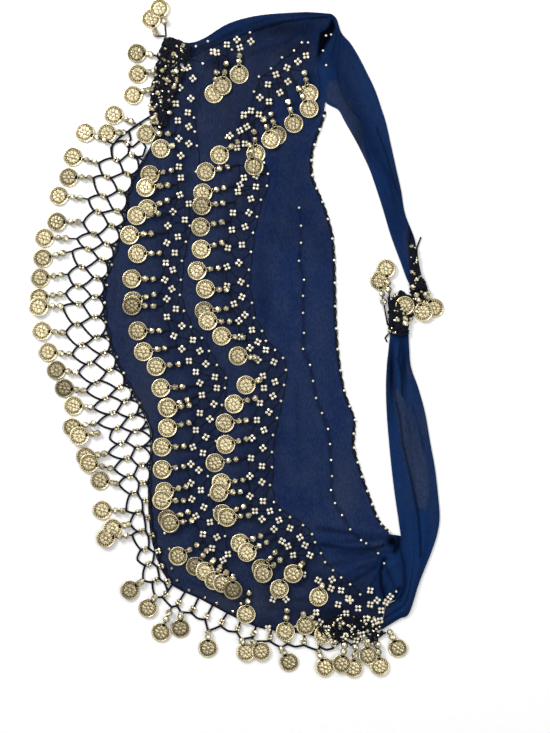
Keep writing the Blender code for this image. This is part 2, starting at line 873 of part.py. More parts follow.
def add_drop(shape, ground, first, second, coin, beads):
    """Coin on a bead strand, grown from the open outer side between two rings of a thread."""
    before = [first[0], first[1], second[1], second[0]]
    root = between(before[0].co, before[3].co, 0.5)
    root_z = (first[0].co.z + first[1].co.z) / 2
    cost, coin_x, coin_y, coin_low = ground.settle(root, coin)
    if cost > HIGHEST_COST:
        shape.faces.new(before)
        return
    coin = (coin_x, coin_y)
    reach = math.dist(root, coin)
    ahead = ((coin[0] - root[0]) / reach, (coin[1] - root[1]) / reach)
    outward = first[0].co - first[3].co
    along = second[0].co - first[0].co
    turned_left = outward.x * along.y > outward.y * along.x
    aside = (-ahead[1], ahead[0]) if turned_left else (ahead[1], -ahead[0])
    strand = reach - COIN_RADIUS
    steps = []
    for bead in range(beads):
        steps.append((strand * (bead + 0.55) / beads, BEAD_RADIUS, BEAD_RADIUS * 0.8))
        if bead < beads - 1:
            steps.append((strand * (bead + 1.05) / beads, STRAND_HALF_WIDTH, STRAND_HALF_WIDTH))
    middles = [distance for distance, _, _ in steps] + [strand]
    top_before = (*root, root_z)
    for index, (distance, half_width, half_height) in enumerate(steps):
        x, y = root[0] + ahead[0] * distance, root[1] + ahead[1] * distance
        further = (distance + middles[index + 1]) / 2
        next_x, next_y = root[0] + ahead[0] * further, root[1] + ahead[1] * further
        slope = root_z + (coin_low + COIN_THICKNESS / 2 - root_z) * distance / strand
        low = max(
            ground.height(x, y, half_width, root),
            ground.height(next_x, next_y, STRAND_HALF_WIDTH, root) - half_height / 2,
            slope - half_height,
        )
        high = low + 2 * half_height
        ring = [
            shape.verts.new((x - aside[0] * half_width, y - aside[1] * half_width, low)),
            shape.verts.new((x - aside[0] * half_width, y - aside[1] * half_width, high)),
            shape.verts.new((x + aside[0] * half_width, y + aside[1] * half_width, high)),
            shape.verts.new((x + aside[0] * half_width, y + aside[1] * half_width, low)),
        ]
        join_rings(shape, before, ring)
        before = ring
        top_here = (x, y, high)
        ground.place_run(top_before, top_here, half_width)
        top_before = top_here
    opening = math.asin(COIN_NECK / COIN_RADIUS)
    lower = []
    upper = []
    for k in range(COIN_POINTS):
        turn = opening + (2 * math.pi - 2 * opening) * k / (COIN_POINTS - 1)
        x = coin[0] - COIN_RADIUS * (ahead[0] * math.cos(turn) + aside[0] * math.sin(turn))
        y = coin[1] - COIN_RADIUS * (ahead[1] * math.cos(turn) + aside[1] * math.sin(turn))
        lower.append(shape.verts.new((x, y, coin_low)))
        upper.append(shape.verts.new((x, y, coin_low + COIN_THICKNESS)))
    join_rings(shape, before, [lower[0], upper[0], upper[-1], lower[-1]])
    shape.faces.new(upper)
    shape.faces.new(lower[::-1])
    for k in range(COIN_POINTS - 1):
        shape.faces.new((lower[k], upper[k], upper[k + 1], lower[k + 1]))
    ground.discs.append((coin[0], coin[1], COIN_RADIUS, coin_low + COIN_THICKNESS))


def plan(across, down):
    """Plan point of a reading from the photograph."""
    return (across - PIXEL_ZERO_ACROSS) * PIXEL_SIZE, (PIXEL_ZERO_DOWN - down) * PIXEL_SIZE


def hung_row(row):
    """Where a coin would hang from a row of a path."""
    x, y, heading, drop = row
    toward = heading_vector(heading)
    return x + toward[0] * drop, y + toward[1] * drop


def coin_stations(rows, readings):
    """Rows along a path with its direction there and the coin that hangs from it, or None between coins."""
    count = 40 * (len(rows) - 1)
    samples = [smooth(rows, (len(rows) - 1) * k / count) for k in range(count + 1)]
    lengths = [0.0]
    for before, here in zip(samples, samples[1:]):
        lengths.append(lengths[-1] + math.dist(before[:2], here[:2]))
    hung = []
    for reading in readings:
        coin = plan(*reading)
        nearest = min(range(count), key=lambda k: math.dist(hung_row(samples[k]), coin))
        hung.append((lengths[nearest], coin))
    hung.sort()
    spread = []
    for along, coin in hung:
        if spread:
            along = max(along, spread[-1][0] + ROOT_SPACING)
        spread.append((along, coin))
    room = lengths[-1] - ROOT_SPACING
    for k in reversed(range(len(spread))):
        along, coin = spread[k]
        spread[k] = (min(along, room), coin)
        room = spread[k][0] - ROOT_SPACING
    filled = []
    for k, (along, coin) in enumerate(spread):
        filled.append((along, coin))
        end = spread[k + 1][0] if k + 1 < len(spread) else along
        plain = int((end - along) / PLAIN_SPACING)
        for step in range(1, plain + 1):
            filled.append((along + (end - along) * step / (plain + 1), None))
    found = []
    for along, coin in filled:
        index = next(k for k in range(1, count + 1) if lengths[k] >= along or k == count)
        before, here = samples[index - 1], samples[index]
        step = math.dist(before[:2], here[:2])
        found.append((here, ((here[0] - before[0]) / step, (here[1] - before[1]) / step), coin))
    return found


def heading_vector(degrees):
    return math.cos(math.radians(degrees)), math.sin(math.radians(degrees))


def facing(side, root, coin):
    """Direction halfway between a thread's side and the way from a root to its coin."""
    reach = math.dist(root, coin)
    x = side[0] + (coin[0] - root[0]) / reach
    y = side[1] + (coin[1] - root[1]) / reach
    length = math.hypot(x, y)
    return x / length, y / length


def make_band(name, rows, readings, ground):
    """Zigzag crochet band with its coins on the hem side."""
    stations = []
    root = THREAD_WIDTH * 0.6
    found = coin_stations(rows, readings)
    for index, (row, direction, coin) in enumerate(found):
        x, y, heading, _ = row
        toward = heading_vector(heading)
        side = (direction[1], -direction[0])
        if side[0] * toward[0] + side[1] * toward[1] < 0:
            side = (-side[0], -side[1])
        outer = (x + side[0] * BAND_HALF_WIDTH, y + side[1] * BAND_HALF_WIDTH)
        face = facing(side, outer, coin) if coin else side
        # The root's first ring lies before its second along the path
        flip = face[1] * direction[0] - face[0] * direction[1]
        stations.append((outer[0], outer[1], face, root if flip > 0 else -root, coin))
        if index + 1 < len(found):
            next_row = found[index + 1][0]
            gap = math.dist(row[:2], next_row[:2])
            depth = BAND_HALF_WIDTH if gap > PLAIN_SPACING / 2 else BAND_HALF_WIDTH / 4
            middle_x = (x + next_row[0]) / 2 - side[0] * depth
            middle_y = (y + next_row[1]) / 2 - side[1] * depth
            stations.append((middle_x, middle_y, side, root, None))
    return Trim(name, stations, 1, ground)


def make_hem_fringe(name, first, last, ground):
    """Thread outside the net's edge between two of its rows, with its coins."""
    rows = [smooth(NET_SECTIONS, first + k / 2) for k in range(2 * (last - first) + 1)]
    whole = [smooth(NET_SECTIONS, k / 4) for k in range(4 * (len(NET_SECTIONS) - 1) + 1)]
    own = []
    for reading in HEM_COINS:
        coin = plan(*reading)
        nearest = min(range(len(whole)), key=lambda k: math.dist(hung_row(whole[k]), coin)) / 4
        if first <= nearest < last:
            own.append(reading)
    stations = []
    for row, direction, coin in coin_stations(rows, own):
        side = (direction[1], -direction[0])
        offset = 1.5 * SEAM_GAP + THREAD_WIDTH / 2
        place = (row[0] + side[0] * offset, row[1] + side[1] * offset)
        face = facing(side, place, coin) if coin else side
        # The hem runs with its outer side to the left, so the root's second ring lies the other way
        stations.append((place[0], place[1], face, -THREAD_WIDTH * 0.6, coin))
    return Trim(name, stations, 2, ground)


def make_drops(name, drops, side, ground):
    """Short thread with the drops of a table: root x, root y, coin x, coin y."""
    tangent = (side[1], -side[0])
    stations = []
    for root_x, root_y, coin_x, coin_y in drops:
        face = facing(side, (root_x, root_y), (coin_x, coin_y))
        stations.append((root_x, root_y, face, THREAD_WIDTH * 0.6, (coin_x, coin_y)))
    ahead = (drops[-1][0] - drops[0][0]) * tangent[0] + (drops[-1][1] - drops[0][1]) * tangent[1]
    if ahead < 0:
        stations.reverse()
    return Trim(name, stations, 1, ground)


def make_waist_edging(finish):
    """Thin crocheted picot edge along the waist, outside the panel."""
    shape = bmesh.new()
    rings = []
    first, last = 11, 41
    for k in range(2 * first, 2 * last + 1):
        section = k * PANEL_ROW_STEP / 2
        x, y = panel_edge(1, section)
        x1, y1 = panel_edge(1, section + 0.02)
        step = math.hypot(x1 - x, y1 - y)
        side = (-(y1 - y) / step, (x1 - x) / step)
        width = THREAD_WIDTH * 0.8 + (PICOT_HEIGHT if k % 2 else 0.0)
        middle = SEAM_GAP + width / 2
        rings.append(
            new_ring(
                shape,
                (x + side[0] * middle, y + side[1] * middle),
                FLOOR_CLEARANCE,
                FLOOR_CLEARANCE + THREAD_THICKNESS,
                side,
                width / 2,
            )
        )
    for before, after in zip(rings, rings[1:]):
        join_rings(shape, before, after)
    shape.faces.new(rings[0])
    shape.faces.new(rings[-1])
    return add_object("waist_edging", shape, finish)


def centre_in_plan(things):
    """Moves every mesh by one step so that the origin is below the middle of the whole outline."""
    corners = [Vector(corner) for thing in things for corner in thing.bound_box]
    middle_x = (min(c.x for c in corners) + max(c.x for c in corners)) / 2
    middle_y = (min(c.y for c in corners) + max(c.y for c in corners)) / 2
    for thing in things:
        thing.data.transform(Matrix.Translation((-middle_x, -middle_y, 0.0)))


def main():
    for thing in list(bpy.data.objects):
        bpy.data.objects.remove(thing, do_unlink=True)
    chiffon = material("navy chiffon", (0.01, 0.03, 0.12), 0.7, 0.0)
    crochet = material("dark crochet thread", (0.006, 0.01, 0.035), 0.8, 0.0)
    coins = material("antique gold coins", (0.68, 0.55, 0.32), 0.35, 1.0)
    cloth = [
        make_panel(chiffon),
        make_upper_turn(chiffon),
        make_upper_tail(chiffon),
        make_lower_turn(chiffon),
        make_lower_tail(chiffon),
        make_net_gather(crochet),
        make_hem_net(crochet),
    ]
    make_waist_edging(crochet)
    ground = Ground(cloth)
    trims = [
        make_band("band_top", TOP_BAND, TOP_COINS, ground),
        make_band("band_inner", INNER_BAND, INNER_COINS, ground),
        make_band("band_diagonal", DIAGONAL_BAND, DIAGONAL_COINS, ground),
        make_band("band_outer", OUTER_BAND, OUTER_COINS, ground),
        make_drops("hem_fringe_top", GATHER_DROPS, (-1.0, 0.0), ground),
        make_hem_fringe("hem_fringe_side", 0, 13, ground),
        make_hem_fringe("hem_fringe_end", 13, 22, ground),
        make_drops("hem_fringe_corner", CORNER_DROPS, (0.0, -1.0), ground),
        make_drops("tip_trim_upper", UPPER_TIP_DROPS, (0.0, -1.0), ground),
        make_drops("tip_trim_lower", LOWER_TIP_DROPS, (0.0, 1.0), ground),
    ]
    for trim in trims:
        trim.finish(ground, coins)
    centre_in_plan([thing for thing in bpy.data.objects if thing.type == "MESH"])


main()
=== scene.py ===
"""Belly dance hip scarf laid flat: chiffon, crochet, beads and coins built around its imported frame."""

import math
import random

import bmesh
import bpy
import numpy as np
from bpy.props import FloatProperty, FloatVectorProperty, IntProperty, PointerProperty
from mathutils import Matrix, Vector
from mathutils.bvhtree import BVHTree


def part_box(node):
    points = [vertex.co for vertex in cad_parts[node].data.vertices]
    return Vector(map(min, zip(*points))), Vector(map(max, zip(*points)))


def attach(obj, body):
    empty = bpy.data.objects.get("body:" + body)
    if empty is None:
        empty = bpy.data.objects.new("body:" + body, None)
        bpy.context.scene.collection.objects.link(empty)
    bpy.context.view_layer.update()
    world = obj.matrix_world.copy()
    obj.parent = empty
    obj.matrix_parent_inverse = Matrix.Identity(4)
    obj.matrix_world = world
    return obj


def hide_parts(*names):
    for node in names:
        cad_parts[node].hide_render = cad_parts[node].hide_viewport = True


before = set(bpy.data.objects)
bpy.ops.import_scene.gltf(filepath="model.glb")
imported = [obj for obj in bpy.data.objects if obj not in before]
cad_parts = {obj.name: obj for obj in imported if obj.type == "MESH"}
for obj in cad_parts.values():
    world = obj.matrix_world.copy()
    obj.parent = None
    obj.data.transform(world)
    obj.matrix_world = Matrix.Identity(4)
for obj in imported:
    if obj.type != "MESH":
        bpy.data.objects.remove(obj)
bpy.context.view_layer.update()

bl_info = {
    "name": "Belly dance hip scarf",
    "version": (1, 0, 0),
    "blender": (4, 5, 0),
    "location": "3D View > Sidebar > Scarf",
    "description": "Lays a navy chiffon hip scarf with crocheted net, beads and coins",
    "category": "Object",
}

MM = 0.001

# Readings from the photograph are in pixels, across and down: millimetres to a pixel, the reading at the
# middle of the plan, and the photograph's own size
PIXEL_SIZE = 1.1
PIXEL_ZERO_ACROSS = 235
PIXEL_ZERO_DOWN = 337
PHOTO_ACROSS = 550
PHOTO_DOWN = 733

# Sections across the panel: hem x, hem y, waist x, waist y, upward bow, in millimetres
PANEL_SECTIONS = (
    (-49.5, 308, 101, 353, 8),
    (-57, 289, 109, 334, 5),
    (-71.5, 269.5, 98, 312, 2),
    (-76, 250, 91, 300, 0),
    (-82.5, 228, 94.5, 278, 0),
    (-93.5, 206, 99, 258.5, 0),
    (-108, 181.5, 94.5, 236.5, 0),
    (-118, 153, 83.5, 205.5, 0),
    (-122, 126.5, 83.5, 175, 0),
    (-131, 96, 94.5, 148.5, 0),
    (-143, 60.5, 105.5, 112, 0),
    (-143, 21, 108, 68, 0),
    (-133, -19, 109, 21, 0),
    (-120, -47, 112, -21, 0),
    (-104.5, -75, 119, -62.5, 0),
    (-92.5, -104.5, 130, -91, 0),
    (-92.5, -137.5, 128.5, -119, 0),
    (-94.5, -170.5, 136.5, -148.5, 0),
    (-92.5, -210, 146.5, -177, 0),
    (-85, -243, 156, -201, 0),
    (-69, -272, 165, -211, 0),
    (-38.5, -287, 169.5, -216.5, 0),
    (-3, -306, 164, -225.5, 0),
    (30, -320, 159.5, -236.5, 0),
    (71.5, -325.5, 156, -249.5, 0),
    (115.5, -332, 155, -267, 0),
    (144, -327, 159.5, -282.5, 0),
    (159.5, -322, 165, -295, 0),
)
# The frame's panel has this many columns and rows
PANEL_COLUMNS = 22
PANEL_ROWS = 54
PANEL_ROW_STEP = (len(PANEL_SECTIONS) - 1) / PANEL_ROWS

# Soft folds: start x, start y, end x, end y, half width, height, in millimetres
PANEL_FOLDS = (
    (-40, 300, -70, 190, 9, 1.8),
    (-15, 312, -35, 200, 10, -0.6),
    (20, 330, 0, 250, 9, 1.6),
    (60, 335, 20, 240, 12, 1.8),
    (95, 330, 45, 235, 8, 1.2),
    (80, 260, 60, 120, 13, 1.6),
    (55, 200, 75, 40, 10, 1.0),
    (-90, 180, -125, 60, 10, 1.4),
    (-60, 140, -90, 20, 9, 1.2),
    (-25, 170, -45, 20, 10, 1.3),
    (25, 150, 20, 0, 12, 1.2),
    (95, 110, 100, -60, 10, 1.4),
    (-120, 20, -75, -90, 9, 1.5),
    (-60, -20, -5, -150, 10, 1.4),
    (0, -10, 40, -130, 11, 1.0),
    (60, -20, 75, -160, 12, 1.5),
    (110, -60, 120, -170, 9, 1.4),
    (-80, -110, -75, -230, 9, 1.5),
    (-25, -140, -30, -240, 9, 1.2),
    (165, -224, 85, -200, 6, 2.6),
    (163, -228, 60, -222, 6, 2.2),
    (161, -236, 108, -232, 6, 3.0),
    (159, -246, 104, -248, 6, 2.6),
    (158, -258, 90, -268, 7, 2.8),
    (157, -268, 40, -292, 8, 2.2),
    (158, -280, 75, -306, 7, 2.6),
    (160, -292, 110, -320, 7, 2.4),
    (-40, -265, 20, -305, 8, 1.6),
)

# Doubled edge of the top fold: place along the panel's top, outer x, outer y, height
UPPER_TURN = (
    (0.0, -65, 326.5, 2.4),
    (0.08, -49.5, 323.5, 4.0),
    (0.15, -33, 329, 5.0),
    (0.3, -7.5, 344.5, 6.0),
    (0.5, 23, 353, 6.0),
    (0.75, 60.5, 356.5, 5.5),
    (1.0, 102, 358, 5.0),
)

# Upper tail: panel section beside it, left x, left y, right x, right y, height
TAIL_SEAM_ROWS = 7
UPPER_TAIL = (
    (0.05, 103.8, 352.6, 105.8, 355.4, 5.0),
    (0.3, 108, 348, 111.5, 350.0, 5.0),
    (1.0, 109.6, 334, 117, 334.5, 6.0),
    (2.0, 98.6, 312, 126.5, 323.5, 6.5),
    (3.0, 91.6, 300, 135.5, 309, 6.5),
    (4.0, 95.1, 278, 145, 290.5, 6.0),
    (5.0, 99.6, 258.5, 154, 271.5, 5.5),
    (5.0, 113.5, 249.5, 161.5, 249.5, 5.5),
    (5.0, 121, 236.5, 166, 235.5, 5.5),
    (5.0, 134, 213.5, 171.5, 211, 5.5),
    (5.0, 146, 189, 177, 186, 6.0),
    (5.0, 153, 170.5, 182.5, 161.5, 6.0),
    (5.0, 163, 139.5, 187, 135.5, 6.0),
    (5.0, 171.5, 111, 197, 109, 6.0),
    (5.0, 181.5, 84, 201.5, 86, 5.5),
    (5.0, 188.5, 65, 205.5, 67, 5.0),
    (5.0, 194.5, 53, 212, 52, 4.5),
)

# Gathered corner: panel section beside it, right x, right y, height
LOWER_TURN = (
    (21.0, 179.5, -219, 4.0),
    (22.0, 181.5, -228, 6.0),
    (23.0, 183, -238, 7.0),
    (24.0, 184.5, -251, 7.5),
    (25.0, 184, -267, 7.0),
    (26.0, 181, -278.5, 6.0),
    (26.8, 174, -287.5, 4.5),
)

# Lower tail: left x, left y, right x, right y, height
LOWER_TAIL = (
    (165.8, -295.3, 160.4, -322.3, 5.0),
    (179, -288, 180.5, -310, 6.5),
    (185.5, -278.5, 191.5, -303.5, 7.0),
    (187.5, -258.5, 202.5, -270.5, 7.0),
    (186, -236.5, 215.5, -237.5, 6.5),
    (182.5, -219, 222, -218, 6.0),
    (179.5, -199, 225, -199, 6.0),
    (176, -175, 223.5, -176, 6.0),
    (172.5, -147, 220, -145.5, 6.0),
    (169.5, -117, 214.5, -115, 6.0),
    (167, -86, 209, -83.5, 6.0),
    (166, -56, 201.5, -56, 6.0),
    (167, -31, 193.5, -33, 5.5),
    (169, -12, 191.5, -11, 5.0),
    (170.5, 10, 190.5, 10, 4.5),
    (167.5, 44, 187, 43, 2.6),
)
# A fold runs on past its ends by this share of its length
FOLD_OVERRUN = 0.1
# Wrinkles: how many waves, the length of the shortest in millimetres, and the longest's against it
WRINKLES = 26
WRINKLE_SHORTEST = 9.0
WRINKLE_SPAN = 4.5
# Length in millimetres of a wave of full height, and how height grows with length
WRINKLE_FULL = 40
WRINKLE_GROWTH = 0.6
# Sideways bend of a wave and the length of that bend, against the wave's own length
WRINKLE_BEND = 0.5
WRINKLE_BEND_LENGTH = 1.7
# Height of the smooth cloth's upper side, and the least height in a crease
CLOTH_TOP = 1.6
LOWEST_TOP = 0.9
# Least height of its underside
LOWEST_UNDERSIDE = 0.05
# The gathered pieces run this far under the panel's edge
SEAM_LAP = 1.5
# Way that the top fold runs on under the tail, from this share of its length on, and the slope of its edge
FOLD_RUN = 40
FOLD_RUN_START = 0.9
FOLD_RUN_SLOPE = 0.7
# Way that the gathered corner is tucked into the tail beside it
CORNER_TUCK = 7
# Gathered cloth: how steeply it rises from its edges, how steeply its creases do, the depth of its ridges as
# a share of its height, how far they wander, and how often along a piece
EDGE_RISE = 0.55
CREASE_RISE = 0.5
RIDGE_DEPTH = 0.22
RIDGE_WANDER = 0.35
RIDGE_TURN = 5

# Creases of the tails and the top fold, read from the photograph: start across, start down, end across,
# end down in pixels, then half width and height in millimetres
TURN_CREASES = (
    (200, 50, 250, 34, 3.0, 1.2),
    (215, 38, 290, 18, 4.0, 1.4),
    (250, 31, 322, 15, 2.5, -1.8),
)
UPPER_TAIL_CREASES = (
    (341, 40, 339, 66, 3.0, 1.2),
    (339, 62, 347, 98, 3.0, 1.3),
    (345, 95, 366, 150, 3.0, 1.4),
    (346, 60, 375, 120, 5.0, 0.9),
    (360, 118, 384, 175, 3.0, -1.4),
    (372, 120, 391, 172, 4.0, 1.2),
    (380, 160, 402, 225, 3.0, 1.3),
    (388, 165, 408, 235, 2.5, -1.4),
    (376, 175, 398, 240, 3.0, 0.9),
    (400, 215, 414, 262, 3.0, 1.2),
    (406, 225, 420, 275, 3.0, -1.1),
)
LOWER_TAIL_CREASES = (
    (396, 340, 395, 382, 3.0, 1.4),
    (395, 380, 399, 425, 3.0, 1.3),
    (399, 420, 414, 490, 3.5, 1.5),
    (412, 480, 420, 535, 3.0, 1.3),
    (403, 345, 402, 390, 2.5, -1.5),
    (408, 350, 412, 420, 3.0, 1.1),
    (402, 395, 422, 470, 4.0, -1.0),
    (427, 440, 432, 520, 4.0, 1.2),
    (398, 440, 402, 520, 4.0, 1.2),
    (404, 500, 400, 575, 3.0, -1.2),
    (425, 530, 410, 585, 4.0, 1.2),
    (401, 545, 403, 600, 2.0, -1.2),
)
CORNER_CREASES = (
    (395, 542, 378, 560, 3.0, 1.2),
    (398, 560, 376, 578, 3.0, 1.4),
    (392, 575, 382, 598, 3.0, -1.2),
    (384, 556, 380, 576, 2.4, -1.8),
    (381, 572, 387, 602, 3.0, -2.0),
    (386, 598, 384, 622, 3.0, -1.4),
)
# Finer creases of the panel, in the same columns
PANEL_CREASES = (
    (396, 541, 322, 542, 3.0, -1.6),
    (396, 542, 330, 552, 3.4, 1.6),
    (394, 546, 322, 566, 4.0, -1.3),
    (390, 552, 326, 580, 3.6, 1.7),
    (386, 560, 345, 588, 3.2, -1.5),
    (382, 568, 360, 596, 3.0, 1.4),
    (398, 534, 399, 548, 2.2, -2.0),
    (330, 580, 354, 602, 2.6, -1.4),
    (395, 539, 310, 524, 3.4, 1.5),
    (300, 590, 245, 583, 3.0, 1.71),
    (320, 603, 270, 598, 2.4, -1.0),
    (300, 607, 235, 604, 2.6, 1.33),
    (240, 598, 180, 575, 3.0, 1.33),
    (205, 58, 196, 110, 2.6, 0.95),
    (215, 100, 212, 150, 3.4, 0.95),
    (230, 85, 232, 150, 2.6, -0.95),
    (250, 40, 205, 72, 3.0, -0.95),
    (300, 32, 225, 62, 4.0, 1.52),
    (318, 24, 260, 62, 3.0, -1.14),
    (322, 40, 315, 100, 3.0, 1.33),
    (290, 135, 285, 230, 4.0, 0.95),
    (272, 170, 262, 250, 3.0, -0.76),
    (312, 205, 318, 330, 4.0, 0.95),
    (286, 250, 290, 340, 3.4, 0.76),
    (318, 345, 338, 450, 4.0, 0.95),
    (296, 372, 300, 470, 3.4, -0.76),
    (310, 440, 322, 520, 3.4, 0.95),
    (345, 430, 362, 510, 3.0, 0.95),
    (130, 240, 122, 330, 4.0, 0.95),
    (118, 260, 112, 330, 3.0, -0.76),
    (150, 330, 172, 420, 4.0, 0.76),
    (176, 430, 176, 520, 3.4, 0.76),
    (155, 430, 158, 540, 3.4, 0.76),
    (232, 395, 228, 470, 3.0, 0.76),
)

# Where two layers show through each other, painted paler as light comes through them: soft edge in pixels,
# strength and outline
SHEER_REGIONS = (
    (1.5, 0.8, (
        (327, 82), (338, 80), (343, 92), (348, 107), (361, 121), (363, 138), (366, 155), (371, 171),
        (364, 158), (348, 130), (336, 106), (326, 100),
    )),
    (3.0, 0.35, (
        (341, 46), (352, 50), (368, 80), (378, 105), (384, 125), (370, 120), (352, 110), (345, 98),
        (340, 70),
    )),
    (1.5, 0.45, ((386, 128), (390, 140), (396, 165), (402, 195), (398, 195), (390, 165))),
    (2.0, 0.9, (
        (398, 388), (406, 402), (412, 420), (420, 440), (427, 462), (430, 490), (426, 510), (418, 507),
        (412, 482), (405, 462), (400, 440), (397, 420), (395, 405), (393, 390),
    )),
    (2.0, 0.4, (
        (412, 385), (420, 400), (430, 440), (436, 480), (437, 520), (430, 540), (428, 500), (424, 460),
        (417, 430),
    )),
)
# The black hollow where the cloth turns into the upper tail, painted shade inside the fold
HOLLOW_REGIONS = (
    (2.0, 1.0, (
        (316, 60), (317, 44), (319, 32), (326, 28), (330, 21), (332, 17), (334, 20), (336, 28),
        (332, 38), (326, 47), (320, 58),
    )),
)
# The stretch that the bands cover, and its soft edge in pixels
BANDS_OUTLINE = (
    (190, 48), (235, 36), (252, 34), (262, 50), (300, 42), (312, 50), (300, 75), (262, 122),
    (265, 163), (267, 186), (257, 217), (251, 252), (249, 286), (254, 318), (266, 341), (286, 370),
    (281, 401), (273, 435), (272, 467), (274, 502), (303, 525), (321, 553), (341, 577), (372, 598),
    (392, 600), (390, 640), (240, 640), (170, 600), (144, 540), (144, 440), (112, 370), (92, 320),
    (98, 265), (124, 200), (140, 130), (152, 60),
)
BANDS_EDGE = 4.0
# Stretches that the bands' crochet darkens, and that the folds above and beside darken with painted shade
BAND_REGIONS = (
    (6.0, 0.4, (
        (166, 54), (200, 30), (240, 14), (290, 8), (334, 10), (342, 30), (345, 60), (362, 100),
        (384, 150), (392, 180), (380, 176), (362, 150), (340, 100), (330, 70), (300, 62), (262, 58),
        (225, 58), (190, 62),
    )),
    (8.0, 0.5, ((278, 36), (318, 30), (316, 62), (296, 60), (276, 52))),
    (9.0, 0.22, (
        (262, 120), (300, 80), (314, 110), (304, 160), (312, 200), (332, 240), (330, 262), (300, 250),
        (262, 250), (268, 180),
    )),
    (BANDS_EDGE, 0.05, BANDS_OUTLINE),
)
# Dark lines in the cloth, painted shade along its creases and folded edges: half width in pixels, strength
# and points
DARK_STROKES = (
    (1.8, 0.6, (
        (340, 36), (339, 50), (337, 65), (338, 80), (341, 92), (346, 102), (351, 110), (358, 117),
        (361, 122),
    )),
    (1.8, 0.5, ((361, 120), (363, 132), (364, 142), (367, 152), (370, 160))),
    (1.6, 0.6, ((376, 128), (384, 150), (392, 175), (398, 195))),
    (1.4, 0.6, ((380, 160), (388, 172), (396, 190))),
    (1.6, 0.6, ((399, 322), (400, 345), (398, 360), (402, 375), (402, 396))),
    (1.3, 0.8, ((402, 384), (402, 395))),
    (1.5, 0.5, ((393, 360), (394, 385), (396, 402), (400, 415))),
    (1.4, 0.7, (
        (396, 402), (400, 420), (402, 440), (406, 458), (410, 475), (414, 495), (418, 515), (420, 540),
        (420, 556),
    )),
    (1.2, 0.4, ((412, 405), (418, 425), (424, 450))),
    (1.4, 0.4, ((407, 350), (410, 372))),
    (2.5, 0.35, ((388, 360), (386, 390), (388, 420))),
    (2.0, 0.6, ((400, 548), (404, 565), (404, 585), (400, 600))),
    (3.0, 0.9, ((398, 534), (398, 546), (394, 551))),
    (2.6, 0.9, ((384, 558), (380, 572), (381, 586), (386, 602))),
    (3.0, 0.8, ((399, 588), (392, 598), (385, 606))),
    (2.6, 0.6, ((396, 542), (372, 548), (345, 548), (322, 544))),
    (3.5, 0.35, ((390, 550), (365, 558), (340, 562), (325, 566))),
    (2.6, 0.5, ((386, 558), (372, 570), (356, 580), (340, 584))),
    (2.0, 0.45, ((380, 572), (368, 586), (356, 594))),
    (3.0, 0.3, ((394, 538), (370, 534), (340, 530), (318, 528))),
)
# Half width and strength of the dark line under the seam's beads
SEAM_STROKE = (2.2, 0.5)

# Where the cloth looks paler or darker: across, down, radius across, radius down, strength
# Paler: painted light that comes through the thin cloth
SHEER_PATCHES = (
    (345, 114, 12, 24, 0.8),
    (345, 112, 6, 12, 0.5),
    (414, 448, 10, 54, 0.8),
    (408, 243, 6, 22, 0.7),
    (272, 33, 26, 12, 0.5),
    (225, 112, 18, 40, 0.5),
    (248, 72, 26, 18, 0.35),
    (320, 330, 14, 40, 0.45),
    (310, 400, 22, 50, 0.4),
    (345, 490, 18, 44, 0.75),
    (215, 250, 12, 50, 0.4),
    (222, 345, 12, 60, 0.35),
    (228, 450, 12, 60, 0.3),
    (146, 400, 16, 60, 0.7),
    (150, 480, 14, 60, 0.7),
    (160, 556, 18, 24, 0.7),
    (235, 602, 60, 16, 0.95),
    (118, 285, 14, 50, 0.4),
    (135, 330, 14, 40, 0.5),
    (425, 420, 8, 26, 0.8),
    (410, 368, 5, 12, 0.9),
    (380, 545, 12, 6, 0.6),
)
DOUBLED_PATCHES = (
    (330, 66, 18, 40, 0.55),
    (364, 95, 16, 40, 0.7),
    (385, 178, 22, 46, 0.8),
    (402, 215, 14, 40, 0.6),
    (396, 380, 14, 40, 0.5),
    (420, 540, 26, 60, 1.0),
    (390, 578, 18, 26, 0.9),
    (395, 610, 20, 18, 0.9),
    (350, 552, 36, 24, 0.4),
)
# Darker: painted shade in hollows and under the folds, with the darkening of the crochet in the bands and
# the bunched ends
DARK_PATCHES = (
    (275, 28, 45, 8, 0.6),
    (305, 52, 18, 26, 0.5),
    (312, 88, 12, 30, 0.4),
    (340, 64, 20, 40, 0.3),
    (360, 132, 9, 30, 0.5),
    (395, 205, 20, 50, 0.3),
    (395, 545, 5, 8, 0.9),
    (360, 600, 26, 30, 0.5),
    (185, 85, 22, 40, 0.35),
    (262, 300, 9, 90, 0.3),
    (275, 420, 8, 70, 0.3),
    (205, 300, 8, 80, 0.2),
    (391, 372, 3.5, 34, 0.9),
    (404, 365, 3, 30, 0.7),
    (398, 322, 16, 15, 1.2),
    (411, 236, 4, 20, 0.9),
    (415, 262, 5, 16, 1.2),
    (420, 284, 9, 14, 1.2),
    (345, 614, 50, 16, 0.6),
    (392, 541, 7, 7, 1.1),
    (285, 30, 55, 14, 0.7),
    (240, 28, 50, 10, 0.35),
    (225, 62, 22, 12, 0.6),
    (228, 105, 28, 46, 0.28),
    (260, 70, 14, 40, 0.3),
    (240, 125, 26, 14, 0.35),
)
# Cloth under the bands' crochet is darkened by it: radius in pixels and strength
LACE_RADIUS = 10.5
LACE_SHADE = 0.5
# Change of tone for each millimetre of a crease's height, and the most that a crest gains: crests are paled
# as a painted highlight and hollows darkened as painted shade
CREST_HIGHLIGHT = 0.14
CREST_HIGHLIGHT_LIMIT = 0.5
HOLLOW_SHADE = 0.22

